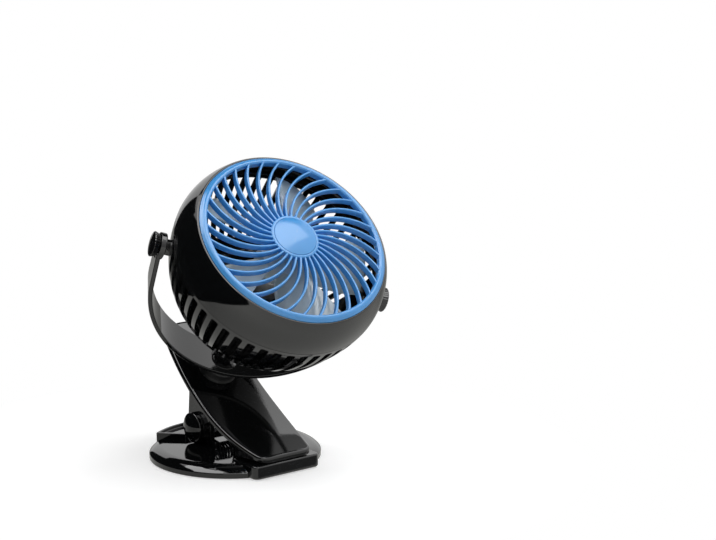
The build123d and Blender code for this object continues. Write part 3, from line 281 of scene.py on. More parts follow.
# ================================================================ shader nodes
def new_material(name):
    """A node material with its tree and its Principled shader."""
    material = bpy.data.materials.new(name)
    material.use_nodes = True
    tree = material.node_tree
    return material, tree, tree.nodes["Principled BSDF"]


def add_node(tree, kind, **inputs):
    """New node with numbers or colours on the named sockets."""
    node = tree.nodes.new("ShaderNode" + kind)
    for key, value in inputs.items():
        node.inputs[key.replace("_", " ")].default_value = value
    return node


def feed(tree, node, **sources):
    """Links each source to the node's socket of that name."""
    for key, source in sources.items():
        tree.links.new(source, node.inputs[key.replace("_", " ")])
    return node


def coordinates(tree, kind):
    return add_node(tree, "TexCoord").outputs[kind]


def along_axis(tree, vector, axis):
    return feed(tree, add_node(tree, "SeparateXYZ"), Vector=vector).outputs[axis]


def noise(tree, scale, detail=3.0, roughness=0.55, stretch=(1.0, 1.0, 1.0)):
    """Noise in object space, stretched along an axis where that is asked for."""
    mapping = add_node(tree, "Mapping", Scale=stretch)
    feed(tree, mapping, Vector=coordinates(tree, "Object"))
    node = add_node(tree, "TexNoise", Scale=scale, Detail=detail, Roughness=roughness)
    return feed(tree, node, Vector=mapping.outputs["Vector"]).outputs["Fac"]


def ramp(tree, source, to=(0.0, 1.0), given=(0.0, 1.0)):
    """Numbers of the given range carried over to another one."""
    (low, high), (start, stop) = to, given
    node = add_node(tree, "MapRange", From_Min=start, From_Max=stop, To_Min=low, To_Max=high)
    return feed(tree, node, Value=source).outputs["Result"]


def arithmetic(tree, operation, first, second):
    node = add_node(tree, "Math")
    node.operation = operation
    tree.links.new(first, node.inputs[0])
    tree.links.new(second, node.inputs[1])
    return node.outputs["Value"]


def mix_colour(tree, factor, first, second):
    """Blend of two colours, each a tuple or a socket."""
    node = add_node(tree, "Mix")
    node.data_type = "RGBA"      # its colour sockets are 6 and 7, and 2 for the result
    feed(tree, node, Factor=factor)
    for socket, value in ((node.inputs[6], first), (node.inputs[7], second)):
        if isinstance(value, tuple):
            socket.default_value = (*value, 1.0)
        else:
            tree.links.new(value, socket)
    return node.outputs[2]


def mix_shader(tree, factor, first, second):
    node = feed(tree, add_node(tree, "MixShader"), Fac=factor)
    tree.links.new(first, node.inputs[1])
    tree.links.new(second, node.inputs[2])
    return node.outputs["Shader"]


def bump(tree, source, strength, distance, below=None):
    node = add_node(tree, "Bump", Strength=strength, Distance=distance)
    feed(tree, node, Height=source)
    if below:
        feed(tree, node, Normal=below)
    return node.outputs["Normal"]


def shade(colour, by):
    """The colour made lighter or darker."""
    return tuple(by * part for part in colour)


# ================================================================ materials
MOTTLE = (0.35, 0.65)        # range of a noise that shows as uneven colour
STREAKS = (0.3, 0.7)
GLOSS_PATCHES = (0.35, 0.7)
EDGE_WEAR_AND_HIGHLIGHT = (0.53, 0.60)        # pointiness at which an edge starts to lighten and is fully light: rubbed wear and a painted edge highlight
# noise that breaks up the lightened edges (wear and painted edge highlight)
EDGE_WEAR_AND_HIGHLIGHT_PATCHES = (0.42, 0.62)
TRACKS = (0.3, 0.5)
TRACK_GLOSS = (0.25, 0.4)
RUBBER_GLOSS = (0.62, 0.85)


def edge_wear_and_highlight(tree):
    """1 on sharp outer edges, 0 elsewhere, broken up by noise; it lightens them as rubbed wear and
    as a painted edge highlight.
    """
    pointiness = add_node(tree, "NewGeometry").outputs["Pointiness"]
    edges = ramp(tree, pointiness, given=EDGE_WEAR_AND_HIGHLIGHT)
    patches = ramp(tree, noise(tree, scale=220.0, detail=4.0), given=EDGE_WEAR_AND_HIGHLIGHT_PATCHES)
    return arithmetic(tree, "MULTIPLY", edges, patches)


def moulded_plastic(name, colour, worn_and_lit_edge, roughness, grain, flow=0.04):
    """Moulded plastic: uneven gloss, faint flow marks, fine grain, and outer edges lightened by
    rubbed wear and a painted edge highlight.
    """
    material, tree, shader = new_material(name)
    cloud = ramp(tree, noise(tree, scale=18.0), given=MOTTLE)
    tint = mix_colour(tree, cloud, colour, shade(colour, by=1.12))
    gloss = noise(tree, scale=55.0, detail=6.0, roughness=0.7)
    ripple = bump(tree, noise(tree, scale=30.0, detail=2.0), strength=flow, distance=0.0006)
    fine = noise(tree, scale=grain, detail=5.0, roughness=0.65)
    feed(
        tree,
        shader,
        # outer edges lightened: rubbed wear and a painted edge highlight
        Base_Color=mix_colour(tree, edge_wear_and_highlight(tree), tint, worn_and_lit_edge),
        Roughness=ramp(tree, gloss, roughness, GLOSS_PATCHES),
        Normal=bump(tree, fine, strength=0.12, distance=0.00006, below=ripple),
    )
    return material


def let_light_in(material):
    """Makes a plastic slightly milky, a few millimetres deep."""
    shader = material.node_tree.nodes["Principled BSDF"]
    shader.inputs["Subsurface Weight"].default_value = 0.35
    shader.inputs["Subsurface Radius"].default_value = (1.0, 1.0, 1.0)
    shader.inputs["Subsurface Scale"].default_value = 0.003


def rubber(name, colour):
    """Soft black rubber: matt, mottled, with a fine sandy surface."""
    material, tree, shader = new_material(name)
    mottle = ramp(tree, noise(tree, scale=60.0, detail=4.0), given=MOTTLE)
    feed(
        tree,
        shader,
        Base_Color=mix_colour(tree, mottle, colour, shade(colour, by=1.8)),
        Roughness=ramp(tree, noise(tree, scale=90.0), RUBBER_GLOSS),
        Normal=bump(tree, noise(tree, scale=1500.0, detail=2.0), strength=0.35, distance=0.0001),
    )
    return material


def metal(name, colour, roughness, stretch):
    """Drawn or turned metal with fine streaks along one axis."""
    material, tree, shader = new_material(name)
    streaks = noise(tree, scale=120.0, detail=6.0, roughness=0.7, stretch=stretch)
    part = ramp(tree, streaks, given=STREAKS)
    feed(
        tree,
        shader,
        Base_Color=mix_colour(tree, part, colour, shade(colour, by=0.75)),
        Roughness=ramp(tree, streaks, roughness, STREAKS),
        Normal=bump(tree, streaks, strength=0.15, distance=0.00005),
    )
    shader.inputs["Metallic"].default_value = 1.0
    return material


def board_lacquer(name, colour, track_colour):
    """Board lacquer over a faint pattern of tracks."""
    material, tree, shader = new_material(name)
    tracks = add_node(tree, "TexVoronoi", Scale=420.0)
    tracks.distance = "MANHATTAN"
    feed(tree, tracks, Vector=coordinates(tree, "Object"))
    lines = ramp(tree, tracks.outputs["Distance"], given=TRACKS)
    tint = mix_colour(tree, lines, colour, track_colour)
    feed(tree, shader, Base_Color=tint, Roughness=ramp(tree, lines, TRACK_GLOSS))
    return material


BLACK = (0.0030, 0.0034, 0.0038)
# lighter black for the sharp outer edges: rubbed wear and a painted edge highlight
BLACK_WORN_AND_LIT_EDGE = (0.02, 0.02, 0.021)
# for each: name, colour, colour of the sharp outer edges (rubbed wear and a painted edge
# highlight), roughness from and to, fineness of the grain and, where it isn't the usual one, the
# strength of the flow marks
PLASTICS = {
    "black": ("black_gloss", BLACK, BLACK_WORN_AND_LIT_EDGE, (0.03, 0.08), 900.0, 0.02),
    "matt": ("black_matt", BLACK, BLACK_WORN_AND_LIT_EDGE, (0.42, 0.6), 900.0),
    "blue": ("blue_satin", (0.065, 0.30, 0.68), (0.10, 0.34, 0.72), (0.12, 0.20), 1400.0, 0.02),
    "milky": ("milky_blade", (0.48, 0.56, 0.59), (0.88, 0.92, 0.95), (0.12, 0.22), 900.0),
    "white": ("white_plastic", (0.72, 0.72, 0.69), (0.8, 0.8, 0.78), (0.35, 0.5), 1200.0),
    "washer": ("washer_plastic", (0.03, 0.03, 0.032), (0.08, 0.08, 0.08), (0.4, 0.55), 1200.0),
    "cell": ("cell_wrap", (0.02, 0.16, 0.12), (0.1, 0.3, 0.25), (0.2, 0.3), 500.0),
}
# for each: name, colour, roughness from and to, and how the streaks are stretched
METALS = {
    "steel": ("zinc_steel", (0.56, 0.57, 0.60), (0.22, 0.4), (1.0, 1.0, 12.0)),
    "wire": ("spring_wire", (0.055, 0.055, 0.060), (0.3, 0.45), (12.0, 1.0, 1.0)),
    "bronze": ("sintered_bronze", (0.55, 0.33, 0.16), (0.35, 0.5), (1.0, 1.0, 1.0)),
    "magnet": ("ground_magnet", (0.09, 0.09, 0.10), (0.4, 0.6), (1.0, 8.0, 1.0)),
}
MATERIALS = {key: moulded_plastic(*row) for key, row in PLASTICS.items()}
MATERIALS.update({key: metal(*row) for key, row in METALS.items()})
MATERIALS["rubber"] = rubber("black_rubber", (0.012, 0.012, 0.013))
MATERIALS["board"] = board_lacquer("board_lacquer", (0.01, 0.16, 0.06), (0.02, 0.27, 0.10))
let_light_in(MATERIALS["milky"])

SLOT_MATERIALS = {
    "black_gloss": "black",
    "blue_gloss": "blue",
    "pale_plastic": "milky",
    "white_plastic": "white",
    "washer_plastic": "washer",
    "black_rubber": "rubber",
    "steel": "steel",
    "bronze": "bronze",
    "magnet": "magnet",
    "cell_wrap": "cell",
    "board": "board",
}


def dress_cad_nodes():
    """Gives every CAD node the material that goes with its slot."""
    slots = {row["node"]: row["material_slot"] for row in frame["record"]["subparts"]}
    for name, item in frame["nodes"].items():
        item.data.materials.clear()
        item.data.materials.append(MATERIALS[SLOT_MATERIALS[slots[name]]])


# ================================================================ mesh helpers
class Mesh:
    """Points and faces of one piece, in millimetres."""

    def __init__(self):
        self.points = []
        self.faces = []

    def add(self, points, faces, at=None):
        start = len(self.points)
        for point in points:
            vector = Vector(point)
            self.points.append(at @ vector if at else vector)
        self.faces += [tuple(start + index for index in face) for face in faces]

    def grid(self, rows, closed_rows=False, closed_columns=False, at=None, skip=None):
        """Quads over rows of points that are all equally long."""
        width = len(rows[0])
        faces = []
        for i in range(len(rows) if closed_rows else len(rows) - 1):
            for j in range(width if closed_columns else width - 1):
                if skip and skip(i, j):
                    continue
                row = i * width
                below = (i + 1) % len(rows) * width
                beside = (j + 1) % width
                faces.append((row + j, row + beside, below + beside, below + j))
        self.add([point for row in rows for point in row], faces, at)

    def lathe(self, profile, steps=128, at=None, closed=True, ripple=None):
        """Profile of (radius, z) points spun round Z; points on the axis make a tip."""
        rows = []
        for radius, z in profile:
            row = []
            for step in range(steps):
                angle = 2 * pi * step / steps
                reach = radius - ripple(angle, radius) if ripple else radius
                row.append((reach * cos(angle), reach * sin(angle), z))
            rows.append(row)
        self.grid(rows, closed_rows=closed, closed_columns=True, at=at)

    def prism(self, low, top):
        """Solid between two outlines with equally many points."""
        count = len(low)
        faces = [tuple(range(count)), tuple(range(count, 2 * count))]
        for k in range(count):
            beside = (k + 1) % count
            faces.append((k, beside, count + beside, count + k))
        self.add(low + top, faces)


def link(name, data):
    """New object in the scene."""
    item = bpy.data.objects.new(name, data)
    bpy.context.scene.collection.objects.link(item)
    return item


def build(
    mesh,
    name,
    body,
    at=FOOT_AT,
    stands_for=(),
    material="black",
    slot="black_gloss",
    wall=None,
    wall_offset=-1.0,
    edge=0.3,
    edge_steps=2,
):
    """Turns a Mesh into an object on its body, with a wall thickness and bevelled edges."""
    data = bpy.data.meshes.new(name)
    place = MILLIMETRES @ at
    data.from_pydata([place @ point for point in mesh.points], [], mesh.faces)
    tidy = bmesh.new()
    tidy.from_mesh(data)
    bmesh.ops.remove_doubles(tidy, verts=tidy.verts, dist=WELD)
    bmesh.ops.dissolve_degenerate(tidy, edges=tidy.edges, dist=SLIVER)
    bmesh.ops.recalc_face_normals(tidy, faces=tidy.faces)
    tidy.to_mesh(data)
    tidy.free()
    for polygon in data.polygons:
        polygon.use_smooth = True
    data.materials.append(MATERIALS[material])
    item = link(name, data)
    if wall:
        solid = item.modifiers.new("wall", "SOLIDIFY")
        solid.thickness = wall * MM
        solid.offset = wall_offset
        solid.use_even_offset = True
    bevel = item.modifiers.new("edges", "BEVEL")
    bevel.width = edge * MM
    bevel.segments = edge_steps
    bevel.limit_method = "ANGLE"
    bevel.angle_limit = SHARP
    bevel.harden_normals = True
    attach(item, body)
    if stands_for:
        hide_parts(*stands_for)


def arc(start, middle, end, count):
    """Points on the circle through three points of a plane, ends included."""
    (ax, ay), (bx, by), (cx, cy) = start, middle, end
    a, b, c = ax**2 + ay**2, bx**2 + by**2, cx**2 + cy**2
    d = 2 * (ax * (by - cy) + bx * (cy - ay) + cx * (ay - by))
    ux = (a * (by - cy) + b * (cy - ay) + c * (ay - by)) / d
    uy = (a * (cx - bx) + b * (ax - cx) + c * (bx - ax)) / d
    radius = sqrt((ax - ux) ** 2 + (ay - uy) ** 2)
    first = atan2(ay - uy, ax - ux)
    sweep = (atan2(cy - uy, cx - ux) - first + pi) % (2 * pi) - pi
    angles = [first + sweep * k / count for k in range(count + 1)]
    return [(ux + radius * cos(angle), uy + radius * sin(angle)) for angle in angles]


def width_at(place, points):
    """Width at a place, read off a run of (width, place) points from low to high."""
    place = min(max(place, points[0][1]), points[-1][1])
    for (w0, p0), (w1, p1) in zip(points, points[1:]):
        if place <= p1:
            return w0 + (w1 - w0) * (place - p0) / (p1 - p0)


def rounding(x, z, radius, side=1):
    """Quarter circle from an upright wall at x over to the flat top at z.

    The wall faces outwards, or towards the axis where side is -1.
    """
    return [(x - side * radius * (1 - cos(a)), z - radius * (1 - sin(a))) for a in SMALL_QUARTER]


def tube_profile(bore, radius, low, top):
    """Closed profile of a tube, or of a disc where the bore is 0."""
    return [(bore, low), (radius, low), (radius, top), (bore, top)]


def dome_profile(radius, base, rise, count=10):
    """Arc of a ball from the rim up to the axis, as (radius, z) points."""
    ball = (radius**2 + rise**2) / (2 * rise)
    half = asin(min(1.0, radius / ball))
    angles = [half * (1 - k / count) for k in range(count + 1)]
    return [(ball * sin(angle), base + rise - ball + ball * cos(angle)) for angle in angles]


def domed_disc_profile(radius, base, edge, rise):
    """Closed profile of a disc with a domed top."""
    return [(0.0, base), (radius, base), *dome_profile(radius, edge, rise)]


def direction(points, index):
    """Direction of a run of points at one of them."""
    before = Vector(points[max(index - 1, 0)])
    after = Vector(points[min(index + 1, len(points) - 1)])
    return (after - before).normalized()


def level(outline, z):
    """Plan outline at a height."""
    return [(x, y, z) for x, y in outline]


# ================================================================ head
def make_front_housing():
    """Band round the grille, with the ledge that carries the grille's ring."""
    _, (waist, waist_z), (back, back_z) = BAND
    inner = RING_RADIUS + RING_GAP
    under = RING_SKIRT - LEDGE_THICKNESS
    inner_waist = (waist - WALL, waist_z - BAND_INSIDE)
    inside = arc((back - WALL, back_z), inner_waist, (inner + BAND_INSIDE, under), count=16)
    ledge = [
        (inner - LEDGE_REACH, under),
        (inner - LEDGE_REACH, RING_SKIRT),
        (inner, RING_SKIRT),
        (inner, RING_PLANE - BAND_TOP_DROP),
    ]
    mesh = Mesh()
    mesh.lathe(arc(*BAND, count=28) + inside + ledge, steps=192)
    build(mesh, "housing_band", "head", HEAD_AT, ["front_housing"], edge=0.45, edge_steps=3)


def bowl_rows():
    """The bowl's rows as (radius, height), closer together at the ends of the slots."""
    side = arc(*BOWL, count=60)[::-1]
    heights = [*BOWL_ROWS, *(SLOT_FRONT - step for step in SLOT_END_STEPS), *SLOT_ROWS]
    heights += [SLOT_BACK + step for step in reversed(SLOT_END_STEPS)]
    heights += BOWL_LOW_ROWS
    return [(width_at(z, side), z) for z in heights]


def at_slot(z):
    """Whether a height lies between the ends of the slots."""
    return SLOT_BACK - HAIR <= z <= SLOT_FRONT + HAIR


def slot_half_width(radius, z):
    """Half the width of a slot at a height; beyond its ends, that of its end."""
    half = SLOT_WIDTH / 2 * radius / BAND[2][0]
    if not at_slot(z):
        return half - SLOT_ROUND
    depth = min(SLOT_FRONT - z, z - SLOT_BACK)
    if depth >= SLOT_ROUND:
        return half
    return half - SLOT_ROUND + sqrt(max(0.0, SLOT_ROUND**2 - (SLOT_ROUND - depth) ** 2))


def make_rear_shell():
    """The bowl as a sheet that gets a wall, its closed floor, and the bosses for the yoke."""
    sector = radians(360.0 / SLOT_COUNT)
    middles = [(index + 0.5) * sector for index in range(SLOT_COUNT)]
    clear = PIVOT_BOSS_RADIUS + PIVOT_BOSS_CLEAR
    is_open = [abs(sin(middle)) * BAND[2][0] > clear for middle in middles]
    rows = bowl_rows()
    grid = []
    for radius, z in rows:
        hole = tan(slot_half_width(radius, z) / radius)
        steps = [sector * step for step in RIB_BEFORE] + [hole * step for step in SLOT_STEPS]
        steps += [sector * step for step in RIB_AFTER]
        angles = [middle + step for middle in middles for step in steps]
        grid.append([(radius * cos(angle), radius * sin(angle), z) for angle in angles])
    floor_rows = arc(BOWL[2], BOWL_TURN, (BOWL_FLOOR_RADIUS, BOWL_FLOOR), count=8)[1:]
    floor_rows += [(COVER_RECESS_RADIUS, BOWL_FLOOR), (COVER_RECESS_RADIUS, COVER_RECESS)]
    floor_rows += [(COVER_RECESS_INNER, COVER_RECESS)]
    for radius, z in floor_rows:
        grid.append([(radius * cos(angle), radius * sin(angle), z) for angle in angles])

    def is_hole(i, j):
        slot, column = divmod(j, len(steps))
        between = len(RIB_BEFORE) <= column < len(RIB_BEFORE) + len(SLOT_STEPS) - 1
        in_reach = i + 1 < len(rows) and at_slot(rows[i][1]) and at_slot(rows[i + 1][1])
        return between and in_reach and is_open[slot]

    shell = Mesh()
    shell.grid(grid, closed_columns=True, skip=is_hole)
    build(shell, "slotted_bowl", "head", HEAD_AT, ["rear_shell"], wall=WALL)

    extra = Mesh()
    extra.lathe(tube_profile(*LAP_RADII, *LAP_HEIGHTS), steps=128)
    boss = tube_profile(0.0, PIVOT_BOSS_RADIUS, 0.0, PIVOT_BOSS_STOP - PIVOT_BOSS_START)
    for side in (-1, 1):
        extra.lathe(boss, steps=64, at=sideways(side, PIVOT_BOSS_START))
    build(extra, "bowl_lap_and_bosses", "head", HEAD_AT, edge=0.4)


def spoke_path(count):
    """Middle line of a fin, from inside the hub to inside the ring."""

    def at(radius, angle):
        return (radius * cos(radians(angle)), radius * sin(radians(angle)))

    root = at(HUB_RADIUS - SPOKE_ROOT, 0.0)
    middle = at(SPOKE_MID_RADIUS, -SPOKE_MID_TURN)
    return arc(root, middle, at(RING_INNER + SPOKE_ROOT, -SPOKE_SWEEP), count)


def fin(mesh, spin):
    """One fin with a rounded crest, a little thicker at its foot."""
    half = SPOKE_WIDTH / 2
    section = [(-half - SPOKE_FLARE, SPOKE_TOP - SPOKE_DEPTH), (-half, SPOKE_TOP - SPOKE_ROUND)]
    section += rounding(-half, SPOKE_TOP, SPOKE_ROUND, side=-1)
    section += [(-x, z) for x, z in reversed(section)]
    path = spoke_path(count=26)
    rows = []
    for index, (x, y) in enumerate(path):
        along = direction(path, index)
        rows.append([(x - along.y * w, y + along.x * w, z) for w, z in section])
    mesh.grid(rows, closed_columns=True, at=turn("Z", spin))


def make_front_grille():
    """Ring, hub and fins as one moulding, and the cap in its middle."""
    blue = {"material": "blue", "slot": "blue_gloss"}
    low = SPOKE_TOP - SPOKE_DEPTH
    bevel_start = (RING_RADIUS - RING_BEVEL, RING_PLANE + RING_BEVEL)
    bead = arc(bevel_start, RING_BEAD, (RING_INNER + RING_BEVEL, RING_TOP), count=8)
    ring = [(RING_RADIUS, RING_SKIRT), (RING_RADIUS, RING_PLANE), *bead]
    ring += [(RING_INNER, RING_TOP - RING_BEVEL), (RING_INNER, low), (RING_BEAD[0], RING_SKIRT)]
    top = SPOKE_TOP + HUB_RISE
    seat = top - CAP_SEAT
    hub = [(HUB_RADIUS, low), (HUB_RADIUS, top - HUB_ROUND), *rounding(HUB_RADIUS, top, HUB_ROUND)]
    hub += [(CAP_RADIUS + CAP_SEAT_GAP, top), (CAP_RADIUS + CAP_SEAT_GAP, seat), (0.0, seat)]
    hub += [(0.0, SPOKE_TOP - HUB_FLOOR), (HUB_RADIUS - HUB_WALL, SPOKE_TOP - HUB_FLOOR)]
    hub += [(HUB_RADIUS - HUB_WALL, low)]
    grille = Mesh()
    grille.lathe(ring, steps=192)
    grille.lathe(hub, steps=96)
    for index in range(SPOKE_COUNT):
        fin(grille, index * 360.0 / SPOKE_COUNT)
    build(grille, "grille", "head", HEAD_AT, ["front_grille"], **blue, edge=0.25)

    cap = Mesh()
    cap.lathe(domed_disc_profile(CAP_RADIUS, seat, seat + CAP_EDGE, CAP_RISE), steps=96)
    soft = {"edge": 0.35, "edge_steps": 3}
    build(cap, "grille_centre_cap", "head", HEAD_AT, ["grille_cap"], **blue, **soft)


def blade_grid():
    """Mid surface of one blade, from the hub out to the trimmed tip."""
    root = IMPELLER_HUB_RADIUS - 2 * IMPELLER_HUB_WALL
    tip = BLADE_RADIUS + 2 * BLADE_THICKNESS
    rows = []
    for step in range(BLADE_ROWS + 1):
        part = step / BLADE_ROWS
        chord = BLADE_CHORD[1] - (BLADE_CHORD[1] - BLADE_CHORD[0]) * (1 - part) ** BLADE_SWELL
        pitch = radians(BLADE_PITCH[0] + (BLADE_PITCH[1] - BLADE_PITCH[0]) * part)
        camber = BLADE_CAMBER[1] - (BLADE_CAMBER[1] - BLADE_CAMBER[0]) * (1 - part) ** 2
        row = []
        for k in range(BLADE_COLUMNS + 1):
            along = 2 * k / BLADE_COLUMNS - 1
            u = chord / 2 * along
            v = camber * (1 - along**2)
            x = root + (tip - root) * part
            y = BLADE_SKEW * part**2 + u * cos(pitch) - v * sin(pitch)
            z = BLADE_PLANE + u * sin(pitch) + v * cos(pitch)
            trim = min(1.0, BLADE_RADIUS / sqrt(x * x + y * y))
            row.append((x * trim, y * trim, z))
        rows.append(row)
    return rows


def make_impeller():
    pale = {"material": "milky", "slot": "pale_plastic"}
    blades = Mesh()
    rows = blade_grid()
    for index in range(BLADE_COUNT):
        blades.grid(rows, at=turn("Z", index * 360.0 / BLADE_COUNT))
    wall = {"wall": BLADE_THICKNESS, "wall_offset": 0.0}
    build(blades, "impeller_blades", "impeller", HEAD_AT, **pale, **wall, edge=0.35)

    base = IMPELLER_HUB_FRONT - IMPELLER_HUB_DOME
    inner = IMPELLER_HUB_RADIUS - IMPELLER_HUB_WALL
    shell = [(IMPELLER_HUB_RADIUS, IMPELLER_HUB_BACK)]
    shell += dome_profile(IMPELLER_HUB_RADIUS, base, IMPELLER_HUB_DOME)
    shell += reversed(dome_profile(inner, base - IMPELLER_HUB_WALL, IMPELLER_HUB_DOME))
    shell += [(inner, IMPELLER_HUB_BACK)]
    sleeve = [(SLEEVE_BORE, SLEEVE_BACK), (SLEEVE_RADIUS, SLEEVE_BACK)]
    sleeve += [(SLEEVE_RADIUS, SLEEVE_FRONT), (0.0, SLEEVE_FRONT)]
    sleeve += [(0.0, SLEEVE_BORE_END), (SLEEVE_BORE, SLEEVE_BORE_END)]
    hub = Mesh()
    hub.lathe(shell, steps=96)
    hub.lathe(sleeve, steps=48)
    build(hub, "impeller_hub", "impeller", HEAD_AT, ["impeller"], **pale, edge=0.4)


# ================================================================ yoke
def yoke_path():
    """Outer line of the U from the left arm's end to the right one's, as (x, z)."""
    lean = radians(YOKE_LEAN)
    turn_out = pi / 2 - lean
    low = -YOKE_DROP - YOKE_RADIUS * sin(lean)
    side = YOKE_RADIUS * cos(lean)
    top = side - low * tan(lean)
    parts = [k / YOKE_LEG_STEPS for k in range(YOKE_LEG_STEPS)]
    leg = [(-(top + (side - top) * part), low * part) for part in parts]
    bend = []
    for k in range(YOKE_BEND_STEPS + 1):
        angle = -pi / 2 - turn_out + 2 * turn_out * k / YOKE_BEND_STEPS
        bend.append((YOKE_RADIUS * cos(angle), -YOKE_DROP + YOKE_RADIUS * sin(angle)))
    return leg + bend + [(-x, z) for x, z in reversed(leg)]


def make_yoke():
    """The strip, widest at the bottom, narrow at its waist; its two eyes and its seat."""
    low = -YOKE_BOTTOM - 1       # a little below the strip, so that all of it is in reach
    widest, waist = (YOKE_WIDTH / 2, low), (YOKE_WAIST, low * YOKE_WAIST_HEIGHT)
    half_widths = arc(widest, waist, (YOKE_EYE_WIDTH / 2, 0.0), count=40)
    columns = [2 * k / YOKE_COLUMNS - 1 for k in range(YOKE_COLUMNS + 1)]
    rows = []
    for x, z in yoke_path():
        half = width_at(z, half_widths)
        rows.append([(x, half * column, z) for column in columns])
    strip = Mesh()
    strip.grid(rows)
    solid = {"wall": YOKE_THICKNESS, "edge": 0.8, "edge_steps": 3}
    build(strip, "yoke_strip", "yoke", YOKE_AT, ["yoke"], **solid)

    fittings = Mesh()
    for side in (-1, 1):
        eye = tube_profile(EYE_BORE, EYE_RADIUS, 0.0, EYE_LENGTH)
        fittings.lathe(eye, steps=64, at=sideways(side, EYE_INNER))
    low, top = -YOKE_BOTTOM + SEAT_SINK, -YOKE_BOTTOM + YOKE_THICKNESS + SEAT_RISE
    fittings.lathe(tube_profile(SEAT_BORE, SEAT_RADIUS, low, top), steps=64)
    build(fittings, "yoke_eyes_and_seat", "yoke", YOKE_AT, edge=0.5, edge_steps=3)


def knob_ripple(angle, radius):
    """Depth of the grip's flutes, which end before the knob's inner rim."""
    if radius < KNOB_RIB_START:
        return 0.0
    wave = 0.5 + 0.5 * cos(angle * KNOB_RIBS)
    return KNOB_RIB_DEPTH * wave**KNOB_RIB_SHARPNESS


def make_knobs():
    edge = KNOB_LENGTH - KNOB_DOME
    profile = [(0.0, 0.0), (KNOB_INNER, 0.0), (KNOB_OUTER, edge - KNOB_CHAMFER)]
    profile += dome_profile(KNOB_OUTER - KNOB_CHAMFER, edge, KNOB_DOME)
    for side, name in ((-1, "left"), (1, "right")):
        mesh = Mesh()
        mesh.lathe(profile, steps=144, ripple=knob_ripple)
        place = HEAD_AT @ sideways(side, KNOB_START)
        build(mesh, "knob_" + name, "knob_" + name, place, ["tilt_knob_" + name])


# ================================================================ arm
def arm_angle(y):
    """Angle along the arm's arc at which its face is so far back."""
    return asin((y - ARM_CENTRE[0]) / ARM_CURVE)


def on_arm(x, angle, depth):
    """Point at a place along the arm's arc, so deep below its upper face."""
    radius = ARM_CURVE + depth
    return (x, ARM_CENTRE[0] + radius * sin(angle), ARM_CENTRE[1] - radius * cos(angle))


def crown_drop(x):
    """How far the arm's face has fallen away at x: it is slightly crowned across."""
    return ARM_CROWN * (2 * x / ARM_WIDTH) ** 2


def arm_half_width(angle):
    """Half the arm's width, which narrows along an arc to the tip and to the top."""
    y = ARM_CENTRE[0] + ARM_CURVE * sin(angle)
    full = (ARM_WIDTH / 2, ARM_WIDEST_Y)
    if y < ARM_WIDEST_Y:
        end, swell = (ARM_TIP_WIDTH / 2, ARM_TIP_Y), ARM_FRONT_SWELL
    else:
        end, swell = (ARM_TOP_WIDTH / 2, ARM_TOP_Y), ARM_REAR_SWELL
    middle = ((full[0] + end[0]) / 2 + swell, (full[1] + end[1]) / 2)
    return width_at(y, sorted(arc(end, middle, full, count=40), key=lambda point: point[1]))


def arm_outline(inset):
    """Rows along the arm as (angle, half width), with the corners rounded."""
    start = arm_angle(ARM_TIP_Y) + inset / ARM_CURVE
    stop = arm_angle(ARM_TOP_Y) - inset / ARM_CURVE
    tip, top = ARM_TIP_CORNER - inset, ARM_TOP_CORNER - inset
    inner_start, inner_stop = start + tip / ARM_CURVE, stop - top / ARM_CURVE
    # each row first has its angle, and how much a corner takes off its half width
    rows = [(start + tip * (1 - cos(a)) / ARM_CURVE, tip * (1 - sin(a))) for a in QUARTER]
    for k in range(1, ARM_STEPS):
        rows.append((inner_start + (inner_stop - inner_start) * k / ARM_STEPS, 0.0))
    rows += [(stop - top * (1 - sin(a)) / ARM_CURVE, top * (1 - cos(a))) for a in QUARTER]
    return [(angle, arm_half_width(angle) - inset - less) for angle, less in rows]


def arm_ring(inset, depth):
    """Closed run of points round the arm, so far inside its outline and so deep."""
    outline = arm_outline(inset)
    (tip, tip_half), (top, top_half) = outline[0], outline[-1]
    ring = [(tip, tip_half * c) for c in ACROSS[1:-1]] + outline
    ring += [(top, -top_half * c) for c in ACROSS[1:-1]]
    ring += [(angle, -half) for angle, half in reversed(outline)]
    crown_left = 1 - depth / ARM_DEPTH
    return [on_arm(x, angle, crown_drop(x) * crown_left + depth) for angle, x in ring]


def arm_face_drop():
    """From the pivot down the swivel axis to the arm's upper face."""
    oy, oz = PIVOT[1] - ARM_CENTRE[0], PIVOT[2] - ARM_CENTRE[1]
    dy, dz = sin(radians(SWIVEL_SLOPE)), -cos(radians(SWIVEL_SLOPE))
    half_b = oy * dy + oz * dz
    return -half_b + sqrt(half_b**2 - (oy**2 + oz**2 - ARM_CURVE**2))


